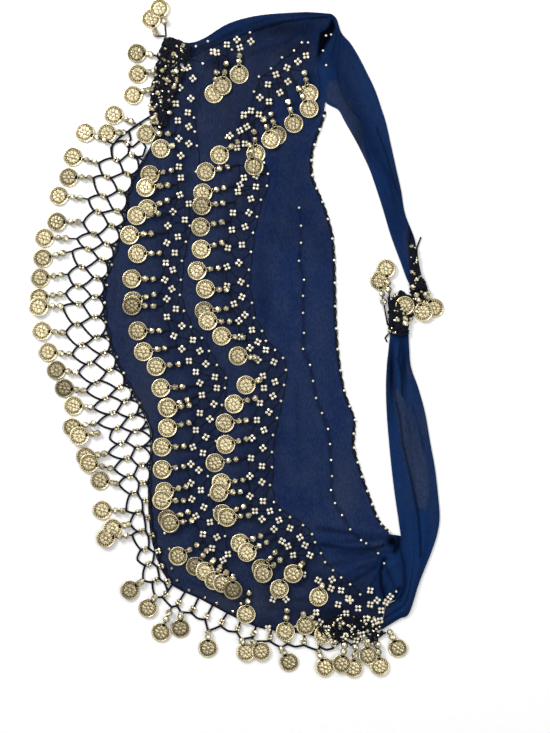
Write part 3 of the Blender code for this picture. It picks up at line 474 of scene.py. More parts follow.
# Knots of beads in the net, across and down: the outer row, then the row nearer the cloth
OUTER_KNOTS = (
    (127, 143), (116, 160), (107, 177), (103, 196), (98, 212), (94, 234), (88, 249), (82, 267),
    (78, 286), (79, 304), (77, 324), (82, 345), (90, 363), (96, 382), (106, 398), (113, 413),
    (117, 428), (122, 443), (127, 458), (130, 476), (134, 493), (139, 512), (142, 531), (145, 549),
    (149, 564), (156, 580), (165, 594), (179, 602), (193, 609), (207, 616), (222, 622), (238, 628),
    (254, 633), (270, 637), (288, 640), (304, 641), (320, 643), (334, 644),
)
INNER_KNOTS = (
    (132, 155), (127, 174), (121, 192), (117, 211), (112, 226), (107, 244), (102, 260), (97, 278),
    (95, 297), (95, 317), (97, 337), (104, 353), (110, 370), (120, 387), (126, 401), (132, 416),
    (136, 431), (139, 447), (142, 465), (143, 483), (146, 500), (148, 517), (152, 535), (158, 551),
    (161, 566), (168, 581),
)
# Threads that gather the top of the net into its bunched end
NET_TOP_THREADS = (
    ((153, 115), (140, 123), (129, 131), (118, 139), (111, 148), (112, 156)),
    ((129, 131), (131, 139), (127, 147)),
    ((140, 123), (144, 131), (141, 140), (133, 147), (127, 147)),
    ((144, 131), (151, 128), (155, 122)),
    ((141, 140), (146, 147), (143, 156), (134, 158)),
)
# Small beads along the cloth's hem
HEM_BEADS = (
    (112, 265), (107, 275), (107, 285), (105, 303), (106, 322), (108, 339), (117, 357), (124, 373),
    (131, 390), (140, 403), (146, 420), (165, 533), (169, 549), (172, 568), (177, 580), (189, 590),
    (205, 597), (217, 603), (233, 611), (241, 603), (268, 628), (295, 626),
)
# Small beads of the seam between the bands and the waist
SEAM_BEADS = (
    (299, 208), (301, 226), (301, 243), (299, 261), (304, 280), (303, 296), (303, 313), (304, 333),
    (303, 349), (310, 365), (313, 381), (316, 398), (322, 413), (328, 429), (330, 444), (331, 460),
    (332, 476), (331, 490), (335, 503), (342, 515), (350, 529), (361, 540), (366, 543), (378, 553),
    (384, 563), (396, 591),
)

# Single beads in and below the hollow of the top fold
HOLLOW_BEADS = ((326, 36), (331, 35), (323, 51), (326, 66))

# Bead flowers of the bands, across and down: the column near the coins, the one beyond it, and the
# single beads of the picot
OUTER_FLOWERS = (
    (183, 54), (188, 68), (193, 79), (180, 88), (191, 99), (176, 104), (188, 113), (178, 121),
    (189, 127), (179, 139), (189, 144), (181, 156), (179, 167), (181, 178), (180, 195), (173, 212),
    (168, 226), (167, 243), (166, 263), (165, 280), (167, 299), (167, 317), (174, 336), (182, 349),
    (189, 361), (196, 372), (200, 383), (202, 395), (200, 413), (196, 430), (193, 447), (191, 464),
    (191, 483), (192, 499), (196, 516), (203, 534), (212, 548), (223, 560),
)
OUTER_FLOWERS_BEYOND = (
    (189, 204), (185, 220), (178, 237), (175, 253), (173, 270), (172, 289), (176, 309), (182, 326),
    (193, 340), (200, 351), (206, 364), (215, 377), (217, 388), (214, 404), (210, 419), (206, 437),
    (203, 453), (199, 470), (201, 490), (204, 507), (210, 522), (217, 537), (228, 554), (268, 628),
    (273, 599), (286, 599),
)
OUTER_PICOT = (
    (194, 118), (195, 132), (197, 146), (196, 172), (195, 200), (190, 226), (186, 242), (182, 261),
    (181, 280), (180, 295), (184, 311), (191, 327), (202, 338), (209, 351), (217, 365), (226, 378),
    (225, 388), (222, 405), (219, 423), (216, 441), (211, 458), (208, 476), (209, 495), (214, 510),
    (219, 523), (225, 536), (235, 548),
)
INNER_FLOWERS = (
    (253, 168), (240, 185), (238, 192), (233, 213), (232, 230), (228, 248), (227, 267), (227, 286),
    (234, 304), (239, 321), (241, 337), (250, 348), (258, 360), (263, 376), (264, 388), (260, 403),
    (257, 420), (252, 438), (251, 458), (250, 476), (250, 496), (255, 511), (262, 519), (274, 529),
    (282, 541), (288, 546), (293, 555), (303, 574), (318, 580), (331, 588),
)
INNER_FLOWERS_BEYOND = (
    (256, 176), (256, 187), (251, 199), (249, 213), (245, 227), (242, 245), (239, 263), (241, 282),
    (242, 297), (245, 315), (252, 330), (258, 342), (266, 350), (274, 362), (275, 382), (273, 396),
    (269, 412), (264, 430), (263, 448), (262, 466), (262, 482), (263, 501), (270, 511), (279, 520),
    (290, 528), (300, 537), (305, 545), (310, 555), (332, 579), (341, 590), (348, 598),
)
INNER_PICOT = (
    (264, 163), (268, 174), (267, 186), (261, 200), (257, 217), (253, 233), (251, 252), (249, 270),
    (248, 286), (252, 303), (254, 318), (262, 331), (266, 341), (275, 350), (283, 358), (286, 370),
    (284, 385), (281, 401), (277, 418), (273, 435), (272, 452), (272, 467), (270, 485), (274, 502),
    (280, 510), (290, 517), (303, 525), (312, 534), (315, 542), (321, 553), (325, 562), (333, 570),
    (341, 577), (350, 584), (360, 594),
)
DIAGONAL_FLOWERS = (
    (298, 62), (287, 68), (288, 82), (280, 93), (269, 102), (259, 115), (247, 127), (240, 131),
    (230, 136), (245, 144),
)
DIAGONAL_FLOWERS_BEYOND = (
    (306, 56), (276, 75), (268, 85), (260, 98), (251, 111), (244, 115), (244, 178), (237, 148),
)
DIAGONAL_PICOT = (
    (308, 43), (302, 43), (294, 51), (282, 58), (271, 69), (259, 77), (254, 92), (242, 118),
    (226, 138),
)
TOP_FLOWERS = ((213, 52), (227, 45), (237, 40), (251, 42), (217, 53), (240, 48))
TOP_PICOT = ((208, 42), (196, 47), (186, 61), (203, 64), (250, 33), (232, 50))
# Flowers of the bunched lower end
CORNER_FLOWERS = (
    (346, 613), (340, 620), (358, 608), (370, 604), (377, 600), (386, 602), (352, 626), (366, 618),
    (333, 640), (345, 636), (356, 640), (327, 628), (303, 641), (316, 612), (370, 590), (381, 610),
    (374, 622), (362, 634), (380, 620), (390, 596), (338, 604), (320, 622), (350, 600),
)

FLOWERS = (OUTER_FLOWERS + OUTER_FLOWERS_BEYOND + INNER_FLOWERS + INNER_FLOWERS_BEYOND + DIAGONAL_FLOWERS
           + DIAGONAL_FLOWERS_BEYOND + TOP_FLOWERS + CORNER_FLOWERS)

# Outlines of the bunched crochet, across and down, clockwise
TOP_BUNCH = ((166, 36), (178, 40), (192, 48), (187, 66), (180, 84), (172, 104), (166, 128), (154, 130),
             (149, 112), (150, 92), (155, 74), (157, 56))
UPPER_TIP_BUNCH = ((410, 238), (417, 250), (418, 266), (424, 280), (429, 292), (425, 304), (410, 303),
                   (409, 286), (411, 268), (409, 252))
LOWER_TIP_BUNCH = ((400, 290), (414, 298), (417, 312), (409, 322), (409, 334), (398, 337), (389, 332),
                   (387, 314), (391, 299))
CORNER_BUNCH = ((318, 622), (336, 613), (362, 616), (384, 618), (386, 632), (372, 646), (336, 646),
                (318, 638))
# Threads, beads and height in millimetres of each bunch, and the seeds of two
TOP_BUNCH_FILL = (120, 80, 4.2)
TOP_BUNCH_SEED = 7
CORNER_BUNCH_FILL = (44, 60, 2.4)
CORNER_BUNCH_SEED = 9
TIP_BUNCH_FILL = (60, 26, 2.4)
# Frayed ends at the tips: across and down of the points that each follows
LOOSE_ENDS = (
    ((421, 237), (419, 242), (417, 248), (417, 256)),
    ((411, 236), (413, 244), (412, 252)),
    ((392, 326), (389, 333), (385, 338), (387, 342)),
)

# Coins of the frame
COIN_RADIUS = 10.5
COIN_POINTS = 9
COIN_THICKNESS = 1.3
COIN_RADIUS_SLACK = 0.2
# Corners of one coin's top lie within this height of each other, in metres, and its faces point this far up
LEVEL_LIMIT = 2e-6
LEVEL_NORMAL = 0.999
# Corners nearer to each other in plan than this, in metres, stand above one another
ABOVE_LIMIT = 1e-5
FRINGE_NODES = ("hem_fringe_top", "hem_fringe_side", "hem_fringe_end", "hem_fringe_corner")
TIP_NODES = ("tip_trim_upper", "tip_trim_lower")
# The hem fringe that hangs from the net, whose strands are the longest
LONG_STRAND_NODES = ("hem_fringe_side", "hem_fringe_end")
# Rings of corners along a strand of the frame, from the coin's neck to the root
LONG_STRAND_RINGS = 5
SHORT_STRAND_RINGS = 3
# Middle of a drop bead that rests on the floor
LOWEST_BEAD = 4.1
# The same for a small bead of the usual size
LOWEST_SMALL_BEAD = 2.3


def linear(code):
    """Linear colour of an sRGB hex value."""
    parts = [int(code[i : i + 2], 16) / 255 for i in (1, 3, 5)]
    return tuple(c / 12.92 if c <= 0.04045 else ((c + 0.055) / 1.055) ** 2.4 for c in parts)


class ScarfSizes(bpy.types.PropertyGroup):
    """Sizes of the scarf's cloth, beads and threads."""

    cloth_wall: FloatProperty(
        name="Cloth wall", description="Thickness of the laid chiffon with its folds",
        default=0.0007, min=0.0002, unit="LENGTH",
    )
    crumple: FloatProperty(
        name="Crumple", description="Height of the small wrinkles between the folds",
        default=0.0003, min=0.0, unit="LENGTH",
    )
    bead_radius: FloatProperty(
        name="Drop bead radius", description="Radius of the cut beads above each coin",
        default=0.0037, min=0.0005, unit="LENGTH",
    )
    small_bead_radius: FloatProperty(
        name="Small bead radius", description="Radius of the beads in the flowers and picots",
        default=0.0017, min=0.0003, unit="LENGTH",
    )
    net_thread: FloatProperty(
        name="Net thread radius", description="Radius of the crocheted threads of the hem net",
        default=0.00125, min=0.0002, unit="LENGTH",
    )
    strand_thread: FloatProperty(
        name="Strand radius", description="Radius of the threads that carry the coins",
        default=0.0009, min=0.0002, unit="LENGTH",
    )
    band_thread: FloatProperty(
        name="Band thread radius", description="Radius of the threads that cross the cloth",
        default=0.00055, min=0.0002, unit="LENGTH",
    )
    coin_sectors: IntProperty(
        name="Coin sectors", description="Sectors around each coin, two for each dot of its ring",
        default=40, min=12,
    )


class ScarfColours(bpy.types.PropertyGroup):
    """Colours of the scarf's finishes."""

    chiffon: FloatVectorProperty(
        name="Chiffon", description="Single layer of navy chiffon", subtype="COLOR",
        default=linear("#15264c"), min=0.0, max=1.0,
    )
    # Also the colour of the painted highlight on the crests of creases
    sheer_and_crest_highlight: FloatVectorProperty(
        name="Sheer chiffon", description="Chiffon where the light comes through", subtype="COLOR",
        default=linear("#2b3650"), min=0.0, max=1.0,
    )
    doubled: FloatVectorProperty(
        name="Doubled chiffon", description="Chiffon lying in several layers", subtype="COLOR",
        default=linear("#092a57"), min=0.0, max=1.0,
    )
    # Painted shade: the colour of hollows, creases and the shade under folds, also taken by the cloth under
    # the bands' dark crochet
    painted_shade_and_lace: FloatVectorProperty(
        name="Deep folds", description="Chiffon in the hollow of a fold", subtype="COLOR",
        default=linear("#01030c"), min=0.0, max=1.0,
    )
    thread: FloatVectorProperty(
        name="Crochet thread", description="Near-black navy crochet cotton", subtype="COLOR",
        default=linear("#07080f"), min=0.0, max=1.0,
    )
    coin: FloatVectorProperty(
        name="Coin", description="Antique gold plating on the coins' raised parts", subtype="COLOR",
        default=linear("#f8e8ba"), min=0.0, max=1.0,
    )
    patina: FloatVectorProperty(
        name="Patina", description="Brown left in the hollows of the coins", subtype="COLOR",
        default=linear("#32240f"), min=0.0, max=1.0,
    )
    seed: FloatVectorProperty(
        name="Seed bead", description="Lined glass of the small beads", subtype="COLOR",
        default=linear("#fffcf2"), min=0.0, max=1.0,
    )
    bead: FloatVectorProperty(
        name="Bead", description="Pale gold plating of the beads", subtype="COLOR",
        default=linear("#fbf0cc"), min=0.0, max=1.0,
    )


# Shapes of the cloth


def smooth(rows, place):
    """Columns of a table at a fractional row, on a smooth curve through all rows."""
    last = len(rows) - 1
    place = min(max(place, 0.0), float(last))
    index = min(int(place), last - 1)
    t = place - index
    before = rows[max(index - 1, 0)]
    after = rows[min(index + 2, last)]
    values = []
    for p0, p1, p2, p3 in zip(before, rows[index], rows[index + 1], after):
        slope_1 = (p2 - p0) / 2
        slope_2 = (p3 - p1) / 2
        start = p1 * (2 * t**3 - 3 * t**2 + 1) + slope_1 * (t**3 - 2 * t**2 + t)
        end = p2 * (3 * t**2 - 2 * t**3) + slope_2 * (t**3 - t**2)
        values.append(start + end)
    return values


def panel_point(across, section):
    """Plan points of the panel, from the hem (0) to the waist edge (1), at a fractional section."""
    hem_x, hem_y, waist_x, waist_y, bow = smooth(PANEL_SECTIONS, section)
    lift = bow * 4 * across * (1 - across)
    return hem_x + (waist_x - hem_x) * across, hem_y + (waist_y - hem_y) * across + lift


def panel_edge(across, section):
    """Plan point on the panel's hem (0) or waist edge (1), on the straight run between two of its rows."""
    row = section / PANEL_ROW_STEP
    index = min(int(row), PANEL_ROWS - 1)
    x0, y0 = panel_point(across, index * PANEL_ROW_STEP)
    x1, y1 = panel_point(across, (index + 1) * PANEL_ROW_STEP)
    return x0 + (x1 - x0) * (row - index), y0 + (y1 - y0) * (row - index)


def edge_points(across, first, last, count):
    """Plan points along the panel's hem (0) or waist edge (1) between two sections."""
    return [panel_edge(across, first + (last - first) * k / count) for k in range(count + 1)]


def frame_shift():
    """Step in millimetres from the tables' plan to the frame's."""
    rows = [k * PANEL_ROW_STEP for k in range(PANEL_ROWS + 1)]
    columns = [i / PANEL_COLUMNS for i in range(PANEL_COLUMNS + 1)]
    points = [panel_point(across, section) for section in rows for across in columns]
    low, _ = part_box("panel")
    return low[0] / MM - min(x for x, _ in points), low[1] / MM - min(y for _, y in points)


SHIFT_X, SHIFT_Y = frame_shift()


def plan(across, down):
    """Plan point in millimetres of a reading from the photograph."""
    return (across - PIXEL_ZERO_ACROSS) * PIXEL_SIZE, (PIXEL_ZERO_DOWN - down) * PIXEL_SIZE


def plan_points(readings):
    """Plan points of several readings."""
    return [plan(*reading) for reading in readings]


def plan_creases(rows):
    """Creases read from the photograph, as folds in plan."""
    found = []
    for across_0, down_0, across_1, down_1, half_width, height in rows:
        found.append((*plan(across_0, down_0), *plan(across_1, down_1), half_width, height))
    return tuple(found)


def fold_height(x, y, folds):
    """Height that soft ridges add at plan points; each dies away towards its ends."""
    total = np.zeros_like(x)
    for x0, y0, x1, y1, half_width, height in folds:
        length = math.hypot(x1 - x0, y1 - y0)
        along = ((x - x0) * (x1 - x0) + (y - y0) * (y1 - y0)) / length**2
        away = ((x - x0) * (y1 - y0) - (y - y0) * (x1 - x0)) / length
        reach = np.clip(along, -FOLD_OVERRUN, 1 + FOLD_OVERRUN) + FOLD_OVERRUN
        ends = np.sin(np.pi * reach / (1 + 2 * FOLD_OVERRUN))
        total += height * ends * np.exp(-((away / half_width) ** 2))
    return total


def crumple(x, y, height, seed):
    """Small wrinkles: the sum of many long-crested waves, bent by slower ones."""
    rng = random.Random(seed)
    total = np.zeros_like(x)
    for k in range(WRINKLES):
        turn = rng.uniform(0, math.pi)
        length = WRINKLE_SHORTEST * WRINKLE_SPAN ** (k / (WRINKLES - 1))
        phase = rng.uniform(0, 2 * math.pi)
        bend_phase = rng.uniform(0, 2 * math.pi)
        across = x * math.sin(turn) - y * math.cos(turn)
        bend = WRINKLE_BEND * length * np.sin(across / (WRINKLE_BEND_LENGTH * length) + bend_phase)
        wave = (x * math.cos(turn) + y * math.sin(turn) + bend) * 2 * math.pi / length
        total += np.sin(wave + phase) * (length / WRINKLE_FULL) ** WRINKLE_GROWTH
    return total * height / math.sqrt(WRINKLES / 2)


def patches(x, y, rows):
    """Strength at plan points of soft patches read from the photograph."""
    total = np.zeros_like(x)
    for across, down, radius_across, radius_down, strength in rows:
        middle_x, middle_y = plan(across, down)
        away = ((x - middle_x) / (radius_across * PIXEL_SIZE)) ** 2
        away += ((y - middle_y) / (radius_down * PIXEL_SIZE)) ** 2
        total = np.maximum(total, strength * np.exp(-away))
    return total


def away_from_run(x, y, start, end):
    """Distance of plan points from the straight run between two points."""
    dx, dy = end[0] - start[0], end[1] - start[1]
    along = np.clip(((x - start[0]) * dx + (y - start[1]) * dy) / (dx * dx + dy * dy), 0.0, 1.0)
    return np.hypot(x - start[0] - along * dx, y - start[1] - along * dy)


def strokes(x, y, rows):
    """Strength at plan points of soft lines read from the photograph."""
    total = np.zeros_like(x)
    for half_width, strength, readings in rows:
        points = plan_points(readings)
        for start, end in zip(points, points[1:]):
            away = away_from_run(x, y, start, end) / (half_width * PIXEL_SIZE)
            total = np.maximum(total, strength * np.exp(-(away**2)))
    return total


def regions(x, y, rows):
    """Strength at plan points of outlined areas read from the photograph, fading over a soft edge."""
    total = np.zeros_like(x)
    for soft_edge, strength, readings in rows:
        loop = plan_points(readings)
        within = np.zeros(x.shape, bool)
        nearest = np.full(x.shape, np.inf)
        for start, end in zip(loop, loop[1:] + loop[:1]):
            (x0, y0), (x1, y1) = start, end
            if y1 != y0:
                within ^= ((y0 > y) != (y1 > y)) & (x < x0 + (y - y0) * (x1 - x0) / (y1 - y0))
            nearest = np.minimum(nearest, away_from_run(x, y, start, end))
        depth = np.where(within, nearest, -nearest) / (soft_edge * PIXEL_SIZE)
        total = np.maximum(total, strength * np.clip(0.5 + depth / 2, 0.0, 1.0))
    return total


def new_object(name, mesh, finishes):
    """Object in the scene from a mesh, with its finishes."""
    for finish in finishes:
        mesh.materials.append(finish)
    thing = bpy.data.objects.new(name, mesh)
    bpy.context.scene.collection.objects.link(thing)
    return thing


def seat(piece, node):
    """Sets a finished piece in the place of the frame's node."""
    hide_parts(node)
    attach(piece, "root")


def in_frame(points):
    """Points in metres in the frame, from plan points in millimetres."""
    return (np.asarray(points, float) + (SHIFT_X, SHIFT_Y, 0.0)) * MM


def shell(name, grid, wall, layers, creases, finish):
    """Thin closed cloth whose top follows a grid of plan points, with the wall below it."""
    rows, columns, _ = grid.shape
    top = grid.reshape(-1, 3)
    under = top.copy()
    under[:, 2] = np.maximum(under[:, 2] - wall / MM, LOWEST_UNDERSIDE)
    index = np.arange(rows * columns).reshape(rows, columns)
    faces = np.stack([index[:-1, :-1], index[:-1, 1:], index[1:, 1:], index[1:, :-1]], -1).reshape(-1, 4)
    rim = np.concatenate([index[0, :-1], index[:-1, -1], index[-1, :0:-1], index[:0:-1, 0]])
    first = grid[0, 1, :2] - grid[0, 0, :2]
    second = grid[1, 0, :2] - grid[0, 0, :2]
    if first[0] * second[1] - first[1] * second[0] < 0:
        faces = faces[:, ::-1]
        rim = rim[::-1]
    count = rows * columns
    after = np.roll(rim, -1)
    sides = np.stack([after, rim, rim + count, after + count], -1)
    mesh = bpy.data.meshes.new(name)
    mesh.from_pydata(in_frame(np.vstack([top, under])), [],
                     np.vstack([faces, faces[:, ::-1] + count, sides]).tolist())
    mesh.update()
    mesh.polygons.foreach_set("use_smooth", np.ones(len(mesh.polygons), bool))
    layer = mesh.color_attributes.new("cloth_tone_and_painted_light", "FLOAT_COLOR", "POINT")
    x, y = top[:, 0], top[:, 1]
    # Painted light on the creases: hollows are darkened as painted shade, and crests are paled as a painted
    # highlight
    crest = fold_height(x, y, creases)
    sheer_and_crest_highlight = np.maximum(patches(x, y, SHEER_PATCHES), np.clip(crest * CREST_HIGHLIGHT, 0.0, CREST_HIGHLIGHT_LIMIT))
    sheer_and_crest_highlight = np.maximum(sheer_and_crest_highlight, regions(x, y, SHEER_REGIONS))
    doubled = np.maximum(patches(x, y, DOUBLED_PATCHES), layers) * (1 - sheer_and_crest_highlight)
    # Dark part: painted shade of hollows, creases and folds, with the darkening of the crochet under the
    # flowers
    lace = tuple((*reading, LACE_RADIUS, LACE_RADIUS, LACE_SHADE) for reading in FLOWERS)
    dark = np.maximum(patches(x, y, DARK_PATCHES + lace), -crest * HOLLOW_SHADE)
    dark = np.maximum(dark, strokes(x, y, DARK_STROKES + ((*SEAM_STROKE, SEAM_BEADS),)))
    dark = np.clip(np.maximum(dark, regions(x, y, HOLLOW_REGIONS + BAND_REGIONS)), 0.0, 1.0)
    tones_and_painted_light = np.stack([sheer_and_crest_highlight, doubled, dark, np.ones_like(x)], -1)
    layer.data.foreach_set("color", np.vstack([tones_and_painted_light, tones_and_painted_light]).ravel())
    veil = regions(x, y, ((BANDS_EDGE, 1.0, BANDS_OUTLINE),))
    mesh.attributes.new("band_veil", "FLOAT", "POINT").data.foreach_set("value", np.tile(veil, 2))
    return new_object(name, mesh, [finish])


def gathered(edges, rows, columns, ridges, creases, height):
    """Grid between two edges of gathered cloth: low at both edges, ridged and creased between."""
    grid = np.zeros((rows + 1, columns + 1, 3))
    across = np.arange(columns + 1) / columns
    round_part = np.sin(np.pi * across) ** EDGE_RISE
    for k in range(rows + 1):
        place = k / rows
        left, right, high = edges(place)
        phase = RIDGE_WANDER * math.sin(RIDGE_TURN * place)
        ridge_part = 1 - RIDGE_DEPTH + RIDGE_DEPTH * np.cos(2 * np.pi * (ridges * across + phase))
        grid[k, :, 0] = left[0] + (right[0] - left[0]) * across
        grid[k, :, 1] = left[1] + (right[1] - left[1]) * across
        grid[k, :, 2] = CLOTH_TOP + (high - CLOTH_TOP) * round_part * ridge_part
    x, y = grid[:, :, 0], grid[:, :, 1]
    inner = np.sin(np.pi * across) ** CREASE_RISE
    grid[:, :, 2] += fold_height(x, y, creases) * inner + crumple(x, y, height, GATHER_SEED) * inner
    grid[:, :, 2] = np.maximum(grid[:, :, 2], LOWEST_TOP)
    return grid


def top_fold_edges(place):
    """Edges and height of the top fold at a share of its length."""
    across, outer_x, outer_y, height = smooth(UPPER_TURN, place * (len(UPPER_TURN) - 1))
    x, y = panel_point(across, 0)
    under = FOLD_RUN * max(place - FOLD_RUN_START, 0)
    return (x + under, y - SEAM_LAP), (outer_x + under, outer_y - FOLD_RUN_SLOPE * under), height


def upper_tail_edges(place):
    """Edges and height of the upper tail, which follows the panel's edge as far as its seam goes."""
    row = place * (len(UPPER_TAIL) - 1)
    _, left_x, left_y, right_x, right_y, height = smooth(UPPER_TAIL, row)
    if row < TAIL_SEAM_ROWS - 1:
        index = int(row)
        start = UPPER_TAIL[index][0]
        left_x, left_y = panel_edge(1, start + (UPPER_TAIL[index + 1][0] - start) * (row - index))
        left_x -= SEAM_LAP
    return (left_x, left_y), (right_x, right_y), height


def corner_edges(place):
    """Edges and height of the gathered corner."""
    section, right_x, right_y, height = smooth(LOWER_TURN, place * (len(LOWER_TURN) - 1))
    left_x, left_y = panel_edge(1, section)
    return (left_x - SEAM_LAP, left_y), (right_x + CORNER_TUCK, right_y), height


def lower_tail_edges(place):
    """Edges and height of the lower tail."""
    left_x, left_y, right_x, right_y, height = smooth(LOWER_TAIL, place * (len(LOWER_TAIL) - 1))
    return (left_x, left_y), (right_x, right_y), height


# Panel's sheet: rows and columns of its grid, the seed of its wrinkles, its cut size in metres and cut area
PANEL_GRID = (350, 128)
PANEL_SEED = 2
PANEL_CUT = (0.28, 0.70)
PANEL_AREA = 0.143
# Seed of the gathered pieces' wrinkles
GATHER_SEED = 4
# Gathered pieces: piece, node, edges, rows, columns, ridges, layers, creases, cut size and cut area
GATHERED_PIECES = (
    ("top_fold_chiffon", "upper_turn", top_fold_edges, 90, 26, 1.5, 0.5, TURN_CREASES, (0.03, 0.17), 0.0026),
    ("upper_tail_chiffon", "upper_tail", upper_tail_edges, 220, 44, 2.5, 0.7, UPPER_TAIL_CREASES,
     (0.045, 0.34), 0.0107),
    ("corner_chiffon", "lower_turn", corner_edges, 60, 24, 1.5, 0.8, CORNER_CREASES, (0.032, 0.077), 0.002),
    ("lower_tail_chiffon", "lower_tail", lower_tail_edges, 220, 44, 2.5, 0.7, LOWER_TAIL_CREASES,
     (0.048, 0.335), 0.0125),
)


# Finishes


def add(tree, kind, inputs=None, **settings):
    """Node of a kind with its settings; each input takes a value or another node's output."""
    node = tree.nodes.new(kind)
    for name, value in settings.items():
        setattr(node, name, value)
    for name, value in (inputs or {}).items():
        socket = node.inputs[name]
        if isinstance(value, bpy.types.NodeSocket):
            tree.links.new(value, socket)
        else:
            socket.default_value = value
    return node


# Sockets of a colour mix: its share, its two colours, and what it gives
MIX_SHARE = 0
MIX_FIRST = 6
MIX_SECOND = 7
MIXED = 2


def made_once(name):
    """Decorator for a finish that is made at its first use and then found by its name."""
    def wrap(make):
        def finish(*colours):
            if name not in bpy.data.materials:
                make(name, *colours)
            return bpy.data.materials[name]
        return finish
    return wrap


def new_finish(name, **fixed):
    """New material with its shader's values set: the tree, the shader and a point's place on the piece."""
    finish = bpy.data.materials.new(name)
    finish.use_nodes = True
    shader = finish.node_tree.nodes["Principled BSDF"]
    for socket, value in fixed.items():
        shader.inputs[socket.replace("_", " ")].default_value = value
    place = add(finish.node_tree, "ShaderNodeTexCoord").outputs["Object"]
    return finish.node_tree, shader, place


def rgba(colour):
    """Opaque colour from its three parts."""
    return (*colour, 1.0)


@made_once("navy chiffon")
def chiffon_finish(name, colours):
    """Crinkled polyester chiffon: crepe yarns give a fine mottled grain and a soft dry sheen."""
    tree, shader, place = new_finish(
        name, Roughness=0.85, IOR=1.5, Specular_IOR_Level=0.02, Sheen_Weight=0.01, Sheen_Roughness=0.45,
        Sheen_Tint=rgba(linear("#8fa3cc")),
    )
    # Tone of the cloth with its painted light and shade, one part each
    tone_and_painted_light = add(tree, "ShaderNodeVertexColor", layer_name="cloth_tone_and_painted_light")
    split = add(tree, "ShaderNodeSeparateColor", {"Color": tone_and_painted_light.outputs["Color"]})
    # Crepe grain: streaks about 1.6 mm wide and 6 mm long, drawn coarser than the real yarns
    stretched = add(tree, "ShaderNodeMapping", {
        "Vector": place, "Scale": (560.0, 260.0, 400.0), "Rotation": (0.0, 0.0, 0.6),
    })
    grain = add(tree, "ShaderNodeTexNoise", {
        "Vector": stretched.outputs[0], "Scale": 1.0, "Detail": 3.0,
    })
    clouds = add(tree, "ShaderNodeTexNoise", {"Vector": place, "Scale": 42.0, "Detail": 3.0})
    cloud_share = add(tree, "ShaderNodeMapRange", {
        "Value": clouds.outputs["Fac"], "From Min": 0.35, "From Max": 0.7, "To Max": 0.5,
    })
    uneven = add(tree, "ShaderNodeMapRange", {
        "Value": grain.outputs["Fac"], "From Min": 0.35, "From Max": 0.68, "To Min": -0.5, "To Max": 0.5,
    })
    calm = add(tree, "ShaderNodeMapRange", {
        "Value": split.outputs["Green"], "To Min": 1.0, "To Max": 0.3,
    })
    grain_share = add(tree, "ShaderNodeMath", {0: uneven.outputs[0], 1: calm.outputs[0], 2: 0.5},
                      operation="MULTIPLY_ADD")
    # Red part: light through the cloth with the painted highlight on crests, mixed with random clouds
    sheer_and_crest_highlight_share = add(tree, "ShaderNodeMath", {0: split.outputs["Red"], 1: cloud_share.outputs[0]},
                      operation="MAXIMUM")
    base = add(tree, "ShaderNodeMix", {
        MIX_SHARE: sheer_and_crest_highlight_share.outputs[0], MIX_FIRST: rgba(colours.chiffon), MIX_SECOND: rgba(colours.sheer_and_crest_highlight),
    }, data_type="RGBA").outputs[MIXED]
    base = add(tree, "ShaderNodeMix", {
        MIX_SHARE: split.outputs["Green"], MIX_FIRST: base, MIX_SECOND: rgba(colours.doubled),
    }, data_type="RGBA").outputs[MIXED]
    darker = add(tree, "ShaderNodeHueSaturation", {"Color": base, "Value": 0.8})
    paler = add(tree, "ShaderNodeHueSaturation", {"Color": base, "Value": 1.17, "Saturation": 0.96})
    base = add(tree, "ShaderNodeMix", {
        MIX_SHARE: grain_share.outputs[0], MIX_FIRST: darker.outputs[0], MIX_SECOND: paler.outputs[0],
    }, data_type="RGBA").outputs[MIXED]
    # Blue part: painted shade, with the darkening of the crochet
    base = add(tree, "ShaderNodeMix", {
        MIX_SHARE: split.outputs["Blue"], MIX_FIRST: base, MIX_SECOND: rgba(colours.painted_shade_and_lace),
    }, data_type="RGBA").outputs[MIXED]
    # The bands' dark crochet below and above takes the blue from the cloth
    veil = add(tree, "ShaderNodeAttribute", attribute_name="band_veil")
    muted = add(tree, "ShaderNodeHueSaturation", {"Color": base, "Value": 0.84, "Saturation": 0.89})
    base = add(tree, "ShaderNodeMix", {
        MIX_SHARE: veil.outputs["Fac"], MIX_FIRST: base, MIX_SECOND: muted.outputs[0],
    }, data_type="RGBA").outputs[MIXED]
    tree.links.new(base, shader.inputs["Base Color"])
    # Weave: about one yarn a millimetre, coarser than real so that it shows
    weave = add(tree, "ShaderNodeTexWave", {"Vector": place, "Scale": 300.0, "Distortion": 2.5})
    relief = add(tree, "ShaderNodeMath", {0: grain.outputs["Fac"], 1: weave.outputs["Fac"], 2: 0.5},
                 operation="MULTIPLY_ADD")
    bump = add(tree, "ShaderNodeBump", {
        "Height": relief.outputs[0], "Strength": 0.25, "Distance": 0.0006,
    })
    tree.links.new(bump.outputs[0], shader.inputs["Normal"])


@made_once("crochet cotton")
def thread_finish(name, colours):
    """Mercerised crochet cotton: twisted plies, nearly black with a low sheen."""
    tree, shader, place = new_finish(name, Roughness=0.75, IOR=1.5, Specular_IOR_Level=0.15)
    # Stitches about 1.5 mm long
    plies = add(tree, "ShaderNodeTexNoise", {"Vector": place, "Scale": 650.0, "Detail": 2.0})
    share = add(tree, "ShaderNodeMapRange", {
        "Value": plies.outputs["Fac"], "From Min": 0.4, "From Max": 0.75, "To Max": 0.6,
    })
    base = add(tree, "ShaderNodeMix", {
        MIX_SHARE: share.outputs[0], MIX_FIRST: rgba(colours.thread), MIX_SECOND: rgba(linear("#1c2238")),
    }, data_type="RGBA").outputs[MIXED]
    tree.links.new(base, shader.inputs["Base Color"])
    bump = add(tree, "ShaderNodeBump", {
        "Height": plies.outputs["Fac"], "Strength": 0.6, "Distance": 0.0008,
    })
    tree.links.new(bump.outputs[0], shader.inputs["Normal"])


